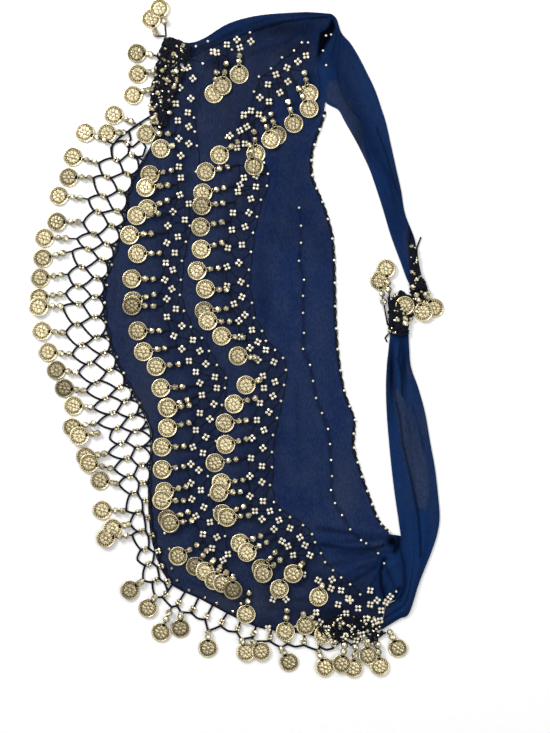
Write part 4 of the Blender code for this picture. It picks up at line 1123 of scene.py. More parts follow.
@made_once("antique gold plate")
def coin_finish(name, colours):
    """Stamped brass with antique gold plating: bright where it is rubbed, brown in the hollows, and black in
    the strand's hole as painted shade.
    """
    tree, shader, place = new_finish(name, Metallic=1.0, Roughness=0.3)
    wear_and_hole_shade = add(tree, "ShaderNodeVertexColor", layer_name="coin_wear_and_hole_shade")
    split = add(tree, "ShaderNodeSeparateColor", {"Color": wear_and_hole_shade.outputs["Color"]})
    # Specks of patina about 1 mm across
    specks = add(tree, "ShaderNodeTexNoise", {"Vector": place, "Scale": 900.0, "Detail": 3.0})
    speck_share = add(tree, "ShaderNodeMapRange", {"Value": specks.outputs["Fac"], "From Min": 0.42,
                                                   "From Max": 0.62, "To Min": -0.2, "To Max": 0.2})
    raised = add(tree, "ShaderNodeMath", {0: split.outputs["Red"], 1: speck_share.outputs[0]},
                 operation="ADD", use_clamp=True)
    base = add(tree, "ShaderNodeMix", {
        MIX_SHARE: raised.outputs[0], MIX_FIRST: rgba(colours.patina), MIX_SECOND: rgba(colours.coin),
    }, data_type="RGBA").outputs[MIXED]
    dull = add(tree, "ShaderNodeHueSaturation", {"Color": base, "Value": 0.42})
    base = add(tree, "ShaderNodeMix", {
        MIX_SHARE: split.outputs["Green"], MIX_FIRST: base, MIX_SECOND: dull.outputs[0],
    }, data_type="RGBA").outputs[MIXED]
    # Painted shade: the strand's hole is painted black
    base = add(tree, "ShaderNodeMix", {
        MIX_SHARE: split.outputs["Blue"], MIX_FIRST: base, MIX_SECOND: (0.0, 0.0, 0.0, 1.0),
    }, data_type="RGBA").outputs[MIXED]
    tree.links.new(base, shader.inputs["Base Color"])
    rough = add(tree, "ShaderNodeMapRange", {"Value": raised.outputs[0], "To Min": 0.5, "To Max": 0.24})
    tree.links.new(rough.outputs[0], shader.inputs["Roughness"])
    bump = add(tree, "ShaderNodeBump", {
        "Height": specks.outputs["Fac"], "Strength": 0.35, "Distance": 0.0005,
    })
    tree.links.new(bump.outputs[0], shader.inputs["Normal"])


@made_once("silver-lined seed beads")
def seed_finish(name, colours):
    """Silver-lined seed beads: nearly white, with a glassy shine."""
    tree, shader, place = new_finish(name, Metallic=0.4, Roughness=0.22)
    shades = add(tree, "ShaderNodeTexNoise", {"Vector": place, "Scale": 300.0})
    base = add(tree, "ShaderNodeMix", {
        MIX_SHARE: shades.outputs["Fac"], MIX_FIRST: rgba(colours.seed), MIX_SECOND: rgba(colours.bead),
    }, data_type="RGBA").outputs[MIXED]
    tree.links.new(base, shader.inputs["Base Color"])


@made_once("pale gold plated beads")
def bead_finish(name, colours):
    """Plated glass bead: a smooth pale gold mirror with a little dirt, and painted shade round its sides."""
    tree, shader, place = new_finish(name, Metallic=1.0, Roughness=0.28)
    dirt = add(tree, "ShaderNodeTexNoise", {"Vector": place, "Scale": 500.0, "Detail": 2.0})
    share = add(tree, "ShaderNodeMapRange", {
        "Value": dirt.outputs["Fac"], "From Min": 0.45, "From Max": 0.65, "To Max": 0.8,
    })
    # Painted shade round the sides of each bead, where they turn away from the camera
    facing = add(tree, "ShaderNodeLayerWeight", {"Blend": 0.5})
    sides = add(tree, "ShaderNodeMapRange", {
        "Value": facing.outputs["Facing"], "From Min": 0.3, "From Max": 0.75,
    })
    dirt_and_side_shade = add(tree, "ShaderNodeMath", {0: share.outputs[0], 1: sides.outputs[0]}, operation="MAXIMUM")
    base = add(tree, "ShaderNodeMix", {
        MIX_SHARE: dirt_and_side_shade.outputs[0], MIX_FIRST: rgba(colours.bead), MIX_SECOND: rgba(linear("#2c2216")),
    }, data_type="RGBA").outputs[MIXED]
    tree.links.new(base, shader.inputs["Base Color"])


@made_once("matt white paper")
def paper_finish(name):
    """Matt white paper: faint fibres and no shine."""
    tree, shader, place = new_finish(name, Roughness=0.9, IOR=1.45)
    # Fibres about 8 mm long, drawn coarser than real
    fibres = add(tree, "ShaderNodeTexNoise", {"Vector": place, "Scale": 120.0})
    base = add(tree, "ShaderNodeMix", {
        MIX_SHARE: fibres.outputs["Fac"], MIX_FIRST: rgba(linear("#fbfbfb")),
        MIX_SECOND: rgba(linear("#ffffff")),
    }, data_type="RGBA").outputs[MIXED]
    tree.links.new(base, shader.inputs["Base Color"])


# Threads and beads


def named_tree(name, sockets):
    """New node tree with named inputs, and its input and output nodes."""
    tree = bpy.data.node_groups.new(name, "GeometryNodeTree")
    for title, kind in sockets:
        tree.interface.new_socket(title, in_out="INPUT", socket_type=kind)
    tree.interface.new_socket("Made", in_out="OUTPUT", socket_type="NodeSocketGeometry")
    return tree, add(tree, "NodeGroupInput"), add(tree, "NodeGroupOutput")


def thread_tree():
    """Round thread along every edge run of a mesh."""
    if "crochet threads" in bpy.data.node_groups:
        return bpy.data.node_groups["crochet threads"]
    tree, given, made = named_tree("crochet threads", (
        ("Paths", "NodeSocketGeometry"), ("Thread radius", "NodeSocketFloat"),
        ("Sides", "NodeSocketInt"), ("Finish", "NodeSocketMaterial")))
    path = add(tree, "GeometryNodeMeshToCurve", {"Mesh": given.outputs["Paths"]})
    ring = add(tree, "GeometryNodeCurvePrimitiveCircle", {
        "Resolution": given.outputs["Sides"], "Radius": given.outputs["Thread radius"],
    })
    tube = add(tree, "GeometryNodeCurveToMesh", {
        "Curve": path.outputs[0], "Profile Curve": ring.outputs[0], "Fill Caps": True,
    })
    whole = add(tree, "GeometryNodeRealizeInstances", {"Geometry": tube.outputs[0]})
    soft = add(tree, "GeometryNodeSetShadeSmooth", {"Geometry": whole.outputs[0]})
    last = add(tree, "GeometryNodeSetMaterial", {
        "Geometry": soft.outputs[0], "Material": given.outputs["Finish"],
    })
    tree.links.new(last.outputs[0], made.inputs[0])
    return tree


# Socket of a random vector's upper limit, and a turn round each axis in radians
VECTOR_MOST = 1
WHOLE_TURNS = (6.28, 6.28, 6.28)
# Facets round a bead and from pole to pole: a drop bead and a small one
BEAD_FACETS = (8, 6)
SMALL_BEAD_FACETS = (8, 5)
# Sides of a thread
THREAD_SIDES = 5


def bead_tree():
    """Cut bead on every point of a mesh, scaled by the point's own size."""
    if "strung beads" in bpy.data.node_groups:
        return bpy.data.node_groups["strung beads"]
    tree, given, made = named_tree("strung beads", (
        ("Places", "NodeSocketGeometry"), ("Bead radius", "NodeSocketFloat"),
        ("Segments", "NodeSocketInt"), ("Rings", "NodeSocketInt"), ("Turn seed", "NodeSocketInt"),
        ("Finish", "NodeSocketMaterial")))
    bead = add(tree, "GeometryNodeMeshUVSphere", {"Segments": given.outputs["Segments"],
                                                  "Rings": given.outputs["Rings"],
                                                  "Radius": given.outputs["Bead radius"]})
    size = add(tree, "GeometryNodeInputNamedAttribute", {"Name": "size"}, data_type="FLOAT")
    turn = add(tree, "FunctionNodeRandomValue", {
        VECTOR_MOST: WHOLE_TURNS, "Seed": given.outputs["Turn seed"],
    }, data_type="FLOAT_VECTOR")
    placed = add(tree, "GeometryNodeInstanceOnPoints", {"Points": given.outputs["Places"],
                                                        "Instance": bead.outputs["Mesh"],
                                                        "Rotation": turn.outputs[0],
                                                        "Scale": size.outputs[0]})
    whole = add(tree, "GeometryNodeRealizeInstances", {"Geometry": placed.outputs[0]})
    cut = add(tree, "GeometryNodeSetShadeSmooth", {"Geometry": whole.outputs[0], "Shade Smooth": False})
    last = add(tree, "GeometryNodeSetMaterial", {
        "Geometry": cut.outputs[0], "Material": given.outputs["Finish"],
    })
    tree.links.new(last.outputs[0], made.inputs[0])
    return tree


def realised(name, mesh, tree, values):
    """Plain mesh object of what a node tree makes from a mesh."""
    thing = bpy.data.objects.new(name, mesh)
    bpy.context.scene.collection.objects.link(thing)
    made = thing.modifiers.new("made", "NODES")
    made.node_group = tree
    for item in tree.interface.items_tree:
        if item.in_out == "INPUT" and item.name in values:
            made[item.identifier] = values[item.name]
    view = bpy.context.evaluated_depsgraph_get()
    whole = bpy.data.meshes.new_from_object(thing.evaluated_get(view))
    thing.modifiers.remove(made)
    thing.data = whole
    whole.name = name
    return thing


def make_threads(name, lines, radius, finish):
    """Threads along lines of plan points."""
    points = []
    edges = []
    for line in lines:
        start = len(points)
        points.extend(line)
        edges.extend((start + i, start + i + 1) for i in range(len(line) - 1))
    mesh = bpy.data.meshes.new(name)
    mesh.from_pydata(in_frame(points), edges, [])
    values = {"Thread radius": radius, "Sides": THREAD_SIDES, "Finish": finish}
    return realised(name, mesh, thread_tree(), values)


def make_beads(name, beads, radius, finish, seed, facets=SMALL_BEAD_FACETS):
    """Beads on plan points, each with its own size."""
    mesh = bpy.data.meshes.new(name)
    mesh.from_pydata(in_frame([point for point, _ in beads]), [], [])
    sizes = mesh.attributes.new("size", "FLOAT", "POINT")
    sizes.data.foreach_set("value", [size for _, size in beads])
    values = {"Bead radius": radius, "Segments": facets[0], "Rings": facets[1], "Turn seed": seed,
              "Finish": finish}
    return realised(name, mesh, bead_tree(), values)


def joined(name, things):
    """One object from several, with their finishes and colours kept."""
    shape = bmesh.new()
    finishes = []
    for thing in things:
        start = len(shape.faces)
        shape.from_mesh(thing.data)
        shape.faces.ensure_lookup_table()
        own = []
        for finish in thing.data.materials:
            if finish not in finishes:
                finishes.append(finish)
            own.append(finishes.index(finish))
        for face in shape.faces[start:]:
            face.material_index = own[face.material_index]
        bpy.data.objects.remove(thing, do_unlink=True)
    mesh = bpy.data.meshes.new(name)
    shape.to_mesh(mesh)
    shape.free()
    return new_object(name, mesh, finishes)


class LaidScarf:
    """The scarf so far: the scene's sizes and colours, and the height of the laid cloth at plan points."""

    def __init__(self, scene):
        self.sizes = scene.scarf_sizes
        self.colours = scene.scarf_colours
        self.trees = []
        for name in ("panel_chiffon", *(row[0] for row in GATHERED_PIECES)):
            shape = bmesh.new()
            shape.from_mesh(bpy.data.objects[name].data)
            self.trees.append(BVHTree.FromBMesh(shape))
            shape.free()

    def height(self, x, y):
        """Height of the cloth's upper side in millimetres, or 0 beside the cloth."""
        found = 0.0
        start = Vector(((x + SHIFT_X) * MM, (y + SHIFT_Y) * MM, 1.0))
        for tree in self.trees:
            hit = tree.ray_cast(start, Vector((0.0, 0.0, -1.0)))[0]
            if hit is not None:
                found = max(found, hit.z / MM)
        return found

    def drape(self, points, lift, step=3.0):
        """Line of plan points that follows the cloth, a little above it."""
        line = []
        for (x0, y0), (x1, y1) in zip(points, points[1:]):
            count = max(int(math.hypot(x1 - x0, y1 - y0) / step), 1)
            for k in range(count):
                line.append((x0 + (x1 - x0) * k / count, y0 + (y1 - y0) * k / count))
        line.append(points[-1][:2])
        return [(x, y, self.height(x, y) + lift) for x, y in line]


def heading(start, end):
    """Direction from one plan point to another, of length 1."""
    length = math.dist(start, end)
    return (end[0] - start[0]) / length, (end[1] - start[1]) / length


def nearest_to(point, points, count=1):
    """The plan points nearest to a point, from the nearest on."""
    return sorted(points, key=lambda other: math.dist(other, point))[:count]


def arc(start, end, sag, count=5):
    """Points of a thread between two plan points, bowed to its left by a share of its length."""
    dx, dy = end[0] - start[0], end[1] - start[1]
    found = []
    for k in range(count + 1):
        t = k / count
        bow = 4 * sag * t * (1 - t)
        found.append((start[0] + dx * t - dy * bow, start[1] + dy * t + dx * bow))
    return found


# Millimetres from the middle of a bead flower to the middle of each bead
FLOWER_SPREAD = 2.65


def flower(x, y, turn, high):
    """Four small beads around a middle."""
    beads = []
    for k in range(4):
        angle = turn + k * math.pi / 2
        point = (x + FLOWER_SPREAD * math.cos(angle), y + FLOWER_SPREAD * math.sin(angle), high)
        beads.append((point, 1.0))
    return beads


def inside(point, loop):
    """Whether a plan point lies within a closed loop."""
    x, y = point
    odd = False
    for (x0, y0), (x1, y1) in zip(loop, loop[1:] + loop[:1]):
        if (y0 > y) != (y1 > y) and x < x0 + (y - y0) * (x1 - x0) / (y1 - y0):
            odd = not odd
    return odd


# Loose threads of the bunched crochet: points of each, the step between them, the most that it turns and
# rises at each, the turn at the outline, and the lowest height
BUNCH_POINTS = 14
BUNCH_STEP = 2.6
BUNCH_TURN = 0.9
BUNCH_RISE = 0.8
BUNCH_TURN_BACK = math.pi * 0.7
BUNCH_LOW = 1.3
# Sizes of its beads, as shares of a small bead's; the lowest, as a share of the bunch's height, and how far
# the highest stand out of it
BUNCH_BEAD_SIZES = (0.7, 0.8, 0.9, 1.1, 1.5)
BUNCH_BEAD_LOW = 0.6
BUNCH_BEAD_OUT = 0.6


def bunch(outline, threads, beads, high, laid, seed):
    """Bunched crochet within an outline: loops of thread at all heights, with beads among them."""
    rng = random.Random(seed)
    loop = plan_points(outline)
    low_x, high_x = min(x for x, _ in loop), max(x for x, _ in loop)
    low_y, high_y = min(y for _, y in loop), max(y for _, y in loop)

    def spot():
        while True:
            point = (rng.uniform(low_x, high_x), rng.uniform(low_y, high_y))
            if inside(point, loop):
                return point

    lines = []
    for _ in range(threads):
        x, y = spot()
        turn = rng.uniform(0, 2 * math.pi)
        lift = rng.uniform(BUNCH_LOW, high)
        line = []
        for _ in range(BUNCH_POINTS):
            line.append((x, y, laid.height(x, y) + lift))
            turn += rng.uniform(-BUNCH_TURN, BUNCH_TURN)
            step = (x + BUNCH_STEP * math.cos(turn), y + BUNCH_STEP * math.sin(turn))
            if inside(step, loop):
                x, y = step
                lift = min(max(lift + rng.uniform(-BUNCH_RISE, BUNCH_RISE), BUNCH_LOW), high)
            else:
                turn += BUNCH_TURN_BACK
        lines.append(line)
    placed = []
    for _ in range(beads):
        x, y = spot()
        middle = laid.height(x, y) + rng.uniform(high * BUNCH_BEAD_LOW, high + BUNCH_BEAD_OUT)
        size = rng.choice(BUNCH_BEAD_SIZES)
        placed.append(((x, y, max(middle, LOWEST_SMALL_BEAD * size)), size))
    return lines, placed


# Coins


def plan_tuple(point):
    """Plan point in millimetres, with its height, from a point of the frame in metres."""
    return tuple(np.array(point) / MM - (SHIFT_X, SHIFT_Y, 0.0))


def read_drops(node):
    """Coins of a frame node in plan millimetres: middle, height, way to the neck, and strand points."""
    shape = bmesh.new()
    shape.from_mesh(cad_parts[node].data)
    bmesh.ops.remove_doubles(shape, verts=shape.verts[:], dist=1e-6)
    shape.normal_update()
    seen = set()
    drops = []
    for face in shape.faces:
        if face in seen or face.normal.z < LEVEL_NORMAL:
            continue
        group = {face}
        waiting = [face]
        level = face.verts[0].co.z
        while waiting:
            here = waiting.pop()
            for edge in here.edges:
                for other in edge.link_faces:
                    if other in group or other.normal.z < LEVEL_NORMAL:
                        continue
                    if max(abs(vert.co.z - level) for vert in other.verts) < LEVEL_LIMIT:
                        group.add(other)
                        waiting.append(other)
        seen |= group
        rim = {vert for one in group for vert in one.verts}
        if len(rim) != COIN_POINTS:
            continue
        drop = read_coin(rim, node)
        if drop:
            drops.append(drop)
    shape.free()
    return drops


def read_coin(rim, node):
    """One coin from its top's corners, or None where they are no coin."""
    points = np.array([vert.co for vert in rim]) / MM - (SHIFT_X, SHIFT_Y, 0.0)
    equations = np.column_stack([2 * points[:, 0], 2 * points[:, 1], np.ones(len(points))])
    found = np.linalg.lstsq(equations, (points[:, :2] ** 2).sum(1), rcond=None)[0]
    middle = found[:2]
    radius = math.sqrt(found[2] + (middle**2).sum())
    if abs(radius - COIN_RADIUS) > COIN_RADIUS_SLACK:
        return None
    corners = sorted(rim, key=lambda vert: vert.index)
    pairs = [(first, second) for first in corners for second in corners if first.index < second.index]
    neck = min(pairs, key=lambda pair: (pair[0].co - pair[1].co).length)
    below = [min((edge.other_vert(vert) for edge in vert.link_edges),
                 key=lambda other: (other.co.xy - vert.co.xy).length) for vert in neck]
    coin = set(rim)
    for vert in rim:
        coin |= {edge.other_vert(vert) for edge in vert.link_edges
                 if (edge.other_vert(vert).co.xy - vert.co.xy).length < ABOVE_LIMIT}
    ring = set(neck) | set(below)
    visited = coin | ring
    path = []
    for _ in range(LONG_STRAND_RINGS if node in LONG_STRAND_NODES else SHORT_STRAND_RINGS):
        if not ring:
            break
        path.append(plan_tuple(sum((vert.co for vert in ring), Vector()) / len(ring)))
        ring = {edge.other_vert(vert) for vert in ring for edge in vert.link_edges} - visited
        visited |= ring
    toward = np.array(path[0][:2]) - middle
    return {"middle": tuple(middle), "top": float(points[:, 2].max()),
            "toward": math.atan2(toward[1], toward[0]), "path": path}


# Rings of the stamped face from the rim inwards: each reaches inwards to this share of the radius, has this
# pattern, height in millimetres with what the pattern adds, and brightness with what the pattern adds
COIN_RINGS = (
    (0.93, "plain", 0.95, 0.0, 1.0, 0.0),
    (0.88, "plain", 0.95, 0.0, 0.9, 0.0),
    (0.83, "plain", 0.45, 0.0, 0.05, 0.0),
    (0.72, "dots", 0.45, 0.5, 0.0, 1.0),
    (0.64, "plain", 0.42, 0.0, 0.05, 0.0),
    (0.5, "petals", 0.45, 0.45, 0.45, 0.55),
    (0.3, "leaves", 0.5, 0.45, 0.4, 0.6),
    (0.16, "plain", 0.5, 0.0, 0.2, 0.0),
    (-1.0, "plain", 1.0, 0.0, 1.0, 0.0),
)
COIN_DOTS = 20
COIN_PETALS = 10
COIN_LEAVES = 6
# Hole for the strand near the coin's edge: shares of the radius, half angle, height and mark, which paints
# the hole black as its shade
HOLE_SHARES = (0.74, 0.93)
HOLE_ANGLE = 0.2
HOLE_HEIGHT = 0.2
HOLE_PAINTED_SHADE = -1.0
# Rings of corners on a coin's face, from its middle out, with the height of the outermost, and those of its
# underside with their heights and brightness
COIN_SHARES = (0.1, 0.22, 0.32, 0.42, 0.54, 0.6, 0.67, 0.78, 0.85, 0.9, 0.96, 1.0)
COIN_EDGE_HEIGHT = 0.7
COIN_BACK = ((0.99, 0.05), (0.5, 0.2))
COIN_BACK_WEAR = 0.5
# Turns of the pattern, one for each stamp
COIN_PATTERNS = (0.0, 1.3, 2.4)
# Tilt of a laid coin in degrees, and how much of it lifts a coin that lies on cloth
COIN_TILTS = (1.0, 8.0)
COIN_LIFT_ON_CLOTH = 0.55
# How dull the plating of a coin may be
COIN_DULLNESS = (0.0, 0.0, 0.0, 0.1, 0.25, 0.4, 0.75)
# Brightness, dullness and painted hole shade of the jump rings
RING_WEAR = (0.8, 0.1, 0.0, 1.0)


def coin_relief(share, angle, pattern):
    """Height in millimetres and brightness of the stamped face at a share of the radius."""
    if HOLE_SHARES[0] < share < HOLE_SHARES[1] and abs(math.remainder(angle, 2 * math.pi)) < HOLE_ANGLE:
        return HOLE_HEIGHT, HOLE_PAINTED_SHADE
    waves = {
        "plain": 0.0,
        "dots": 0.5 + 0.5 * math.cos(COIN_DOTS * angle),
        "petals": 0.5 + 0.5 * math.cos(COIN_PETALS * angle + pattern),
        "leaves": 0.5 + 0.5 * math.cos(COIN_LEAVES * angle - pattern * 2),
    }
    _, kind, high, high_gain, bright, bright_gain = next(row for row in COIN_RINGS if share > row[0])
    return high + high_gain * waves[kind], bright + bright_gain * waves[kind]


def coin_template(sectors, pattern):
    """Corners, faces and wear of one coin in millimetres around its middle, neck towards +X; the wear holds
    the hole's painted shade as well.
    """
    points = [(0.0, 0.0, 1.0)]
    wear_and_hole_shade = [1.0]
    rings = [(share, None) for share in COIN_SHARES] + list(COIN_BACK)
    for share, back in rings:
        for k in range(sectors):
            angle = 2 * math.pi * k / sectors
            high, bright = coin_relief(share, angle, pattern)
            if back is not None:
                high, bright = back, COIN_BACK_WEAR
            elif share == COIN_SHARES[-1]:
                high = COIN_EDGE_HEIGHT
            radius = COIN_RADIUS * share
            points.append((radius * math.cos(angle), radius * math.sin(angle), high))
            wear_and_hole_shade.append(bright)
    faces = [(0, 1 + k, 1 + (k + 1) % sectors) for k in range(sectors)]
    for ring in range(len(rings) - 1):
        for k in range(sectors):
            here = 1 + ring * sectors
            after = here + sectors
            other = (k + 1) % sectors
            faces.append((here + k, after + k, after + other, here + other))
    last = 1 + (len(rings) - 1) * sectors
    faces.append(tuple(last + k for k in reversed(range(sectors))))
    return np.array(points), faces, wear_and_hole_shade


def make_coins(name, drops, seed, laid, over):
    """Stamped coins where the frame's coins lie, each a little tilted, with a jump ring at the neck."""
    rng = random.Random(seed)
    templates = [coin_template(laid.sizes.coin_sectors, pattern) for pattern in COIN_PATTERNS]
    all_points = []
    all_faces = []
    all_wear_and_hole_shade = []
    count = 0
    for drop in drops:
        points, faces, wear_and_hole_shade = templates[rng.randrange(len(templates))]
        tilt = math.radians(rng.uniform(*COIN_TILTS))
        tilt_turn = rng.uniform(0, 2 * math.pi)
        axis = Vector((math.cos(tilt_turn), math.sin(tilt_turn), 0.0))
        turned = Matrix.Rotation(tilt, 3, axis) @ Matrix.Rotation(drop["toward"], 3, "Z")
        placed = points @ np.array(turned).T
        cloth = laid.height(*drop["middle"])
        rest = max(drop["top"] - COIN_THICKNESS, cloth + over if cloth else 0.0)
        lift = rest + COIN_RADIUS * math.sin(tilt) * (COIN_LIFT_ON_CLOTH if cloth else 1.0)
        placed += (drop["middle"][0], drop["middle"][1], lift)
        all_points.append(placed)
        all_faces.extend([tuple(corner + count for corner in face) for face in faces])
        dull = rng.choice(COIN_DULLNESS)
        # Wear, dullness, and painted shade where the brightness marks the hole
        all_wear_and_hole_shade.extend((max(bright, 0.0), dull, float(bright < 0), 1.0) for bright in wear_and_hole_shade)
        count += len(placed)
        ring_points, ring_faces = jump_ring(drop)
        all_points.append(ring_points)
        all_faces.extend([tuple(corner + count for corner in face) for face in ring_faces])
        all_wear_and_hole_shade.extend([RING_WEAR] * len(ring_points))
        count += len(ring_points)
    mesh = bpy.data.meshes.new(name)
    mesh.from_pydata(in_frame(np.vstack(all_points)), [], all_faces)
    mesh.update()
    mesh.polygons.foreach_set("use_smooth", np.ones(len(mesh.polygons), bool))
    layer = mesh.color_attributes.new("coin_wear_and_hole_shade", "FLOAT_COLOR", "POINT")
    layer.data.foreach_set("color", np.array(all_wear_and_hole_shade).ravel())
    return new_object(name, mesh, [coin_finish(laid.colours)])


# Jump ring in millimetres: its radius and its wire's, how far it stands ahead of the neck and above it, how
# far it leans (the shares of its three ways), and the corners round the ring and round its wire
RING_RADIUS = 1.9
RING_WIRE = 0.42
RING_AHEAD = 0.6
RING_ABOVE = 0.9
RING_LEAN = 0.35
RING_UPRIGHT = 0.94
RING_FORWARD = 0.9
RING_CORNERS = 10
WIRE_CORNERS = 5


def jump_ring(drop):
    """Wire ring through the coin's neck, leaning on its edge."""
    x, y, z = drop["path"][0]
    ahead = np.array((math.cos(drop["toward"]), math.sin(drop["toward"]), 0.0))
    up = np.array((-RING_LEAN * ahead[0], -RING_LEAN * ahead[1], RING_UPRIGHT))
    aside = np.array((-ahead[1], ahead[0], 0.0))
    flat = ahead * RING_FORWARD + up * RING_LEAN
    through = np.cross(flat, aside)
    points = []
    faces = []
    for k in range(RING_CORNERS):
        angle = 2 * math.pi * k / RING_CORNERS
        out = flat * math.cos(angle) + aside * math.sin(angle)
        centre = np.array((x, y, z + RING_ABOVE)) + ahead * RING_AHEAD + out * RING_RADIUS
        here = k * WIRE_CORNERS
        after = (k + 1) % RING_CORNERS * WIRE_CORNERS
        for i in range(WIRE_CORNERS):
            around = 2 * math.pi * i / WIRE_CORNERS
            points.append(centre + RING_WIRE * (out * math.cos(around) + through * math.sin(around)))
            other = (i + 1) % WIRE_CORNERS
            faces.append((here + i, after + i, after + other, here + other))
    return np.array(points), faces


def along_path(path, distance):
    """Point at a distance along a strand from the coin's edge."""
    for start, end in zip(path, path[1:]):
        length = math.dist(start, end)
        if distance <= length:
            share = distance / max(length, 1e-6)
            return tuple(a + (b - a) * share for a, b in zip(start, end))
        distance -= length
    return path[-1]


# Beads of a strand: how many, the first one's distance from the coin and the step to the next in
# millimetres, and the most that one slides and differs in size
STRAND_BEADS = 2
FIRST_BEAD = 5.0
BEAD_STEP = 8.6
BEAD_SLIDE = 0.6
BEAD_SIZES = (0.92, 1.08)
# Room before the first bead and in all, in steps between beads, on a strand too short for them
SHORT_START = 0.7
SHORT_ROOM = 0.2
# Heights of a drop bead's middle and of its thread above the cloth, and the runs of the thread
BEAD_LIFT = 2.4
STRAND_LIFT = 0.95
STRAND_RUNS = 6


def strand_beads(drops, seed, laid):
    """Cut beads above each coin, and the thread that carries them."""
    rng = random.Random(seed)
    placed = []
    lines = []
    for drop in drops:
        path = drop["path"]
        whole = sum(math.dist(a, b) for a, b in zip(path, path[1:]))
        spots = [FIRST_BEAD + BEAD_STEP * k for k in range(STRAND_BEADS)]
        if spots[-1] > whole - 1:
            # A short strand has its beads closer together
            spots = [whole * (k + SHORT_START) / (STRAND_BEADS + SHORT_ROOM) for k in range(STRAND_BEADS)]
        for distance in spots:
            x, y, z = along_path(path, distance + rng.uniform(-BEAD_SLIDE, BEAD_SLIDE))
            z = max(z, laid.height(x, y) + BEAD_LIFT, LOWEST_BEAD)
            placed.append(((x, y, z), rng.uniform(*BEAD_SIZES)))
        line = []
        for k in range(STRAND_RUNS + 1):
            x, y, z = along_path(path, whole * k / STRAND_RUNS)
            line.append((x, y, max(z, laid.height(x, y) + STRAND_LIFT)))
        lines.append(line)
    return placed, lines


def add_trim(node, laid, seed, over, small, scattered, lace, lace_radius):
    """Coins, beads, strands and lace of one frame node, joined and set in its place."""
    drops = read_drops(node)
    if not drops:
        raise RuntimeError(f"no coins were found on {node}")
    name = node + "_trim"
    sizes, colours = laid.sizes, laid.colours
    thread, bead = thread_finish(colours), bead_finish(colours)
    placed, lines = strand_beads(drops, seed, laid)
    parts = [
        make_coins(name + "_coins", drops, seed, laid, over),
        make_beads(name + "_beads", placed, sizes.bead_radius, bead, seed, BEAD_FACETS),
        make_threads(name + "_strands", lines, sizes.strand_thread, thread),
    ]
    if lace:
        parts.append(make_threads(name + "_lace", lace, lace_radius, thread))
    for part, beads, finish in (("_small", small, seed_finish(colours)), ("_scattered", scattered, bead)):
        if beads:
            parts.append(make_beads(name + part, beads, sizes.small_bead_radius, finish, seed + 1))
    seat(joined(name, parts), node)


# Operators


class SCARF_OT_chiffon(bpy.types.Operator):
    """Lay the five stretches of chiffon"""

    bl_idname = "scarf.chiffon"
    bl_label = "Chiffon"

    def execute(self, context):
        sizes = context.scene.scarf_sizes
        finish = chiffon_finish(context.scene.scarf_colours)
        wall = sizes.cloth_wall
        small = sizes.crumple / MM
        rows, columns = PANEL_GRID
        grid = np.zeros((rows + 1, columns + 1, 3))
        across = np.arange(columns + 1) / columns
        for k in range(rows + 1):
            section = (len(PANEL_SECTIONS) - 1) * k / rows
            grid[k, :, 0], grid[k, :, 1] = panel_point(across, section)
        x, y = grid[:, :, 0], grid[:, :, 1]
        creases = plan_creases(PANEL_CREASES)
        high = CLOTH_TOP + fold_height(x, y, PANEL_FOLDS) + fold_height(x, y, creases)
        grid[:, :, 2] = np.maximum(high + crumple(x, y, small, PANEL_SEED), LOWEST_TOP)
        self.lay("panel_chiffon", "panel", grid, wall, 0.0, creases, finish, PANEL_CUT, PANEL_AREA)
        for name, node, edges, rows, columns, ridges, layers, readings, flat, area in GATHERED_PIECES:
            creases = plan_creases(readings)
            grid = gathered(edges, rows, columns, ridges, creases, small)
            self.lay(name, node, grid, wall, layers, creases, finish, flat, area)
        return {"FINISHED"}

    def lay(self, name, node, grid, wall, layers, creases, finish, flat, area):
        """Cloth in a node's place; its cut size and its cut area are not used."""
        piece = shell(name, grid, wall, layers, creases, finish)
        seat(piece, node)


# Seeds of the net, its beads and the bunched net's beads
NET_SEED, NET_BEAD_SEED, BUNCH_BEAD_SEED = 41, 5, 6
# Hem that the net's threads may end on, and hem with threads along it: sections and runs between them
NET_HEM = (3.0, 24.95, 439)
THREADED_HEM = (3.0, 25.0, 260)
# Knots of the net, in millimetres: half the length of one, and its beads' places along it, their distance
# beside it, the heights of their middles and their sizes
HALF_KNOT = 4.2
KNOT_BEAD_SHARES = (0.3, 0.7)
KNOT_BEAD_ASIDE = 1.5
KNOT_BEAD_LIFTS = (1.6, 2.4)
KNOT_BEAD_SIZES = (0.95, 1.25)
# Bow of the threads between the rows, and between the inner row and the hem, as shares of their length
CELL_BOW = 0.06
HEM_BOW = 0.08
# Farthest that a knot's own thread to the hem and one to a strand's root reach
HEM_REACH = 16
ROOT_REACH = 16
# Outside of a cell with no strand beside it: bulge in millimetres, and bow of its threads
SIDE_BULGE, SIDE_BOW = 7.0, -0.07
END_BULGE, END_BOW = 2.5, -0.02
# Heights of the net's and the hem's threads above the cloth, and the step between their points
NET_LIFT = 1.3
HEM_LIFT = 0.8
NET_STEP = 4.0
# Threads along the hem: one outside it, and a zigzag inside it with its width, its turn from point to point
# and its step up
HEM_OUTSIDE = 0.8
HEM_INSIDE = 1.6
HEM_ZIGZAG = 0.9
HEM_TURN = 0.9
HEM_UP = 0.6
HEM_BEAD_LIFT = 1.2
HEM_BEAD_SIZE = 1.15
# Beads of the bunched net, as a share of the small beads
BUNCH_BEAD_SHARE = 1.3


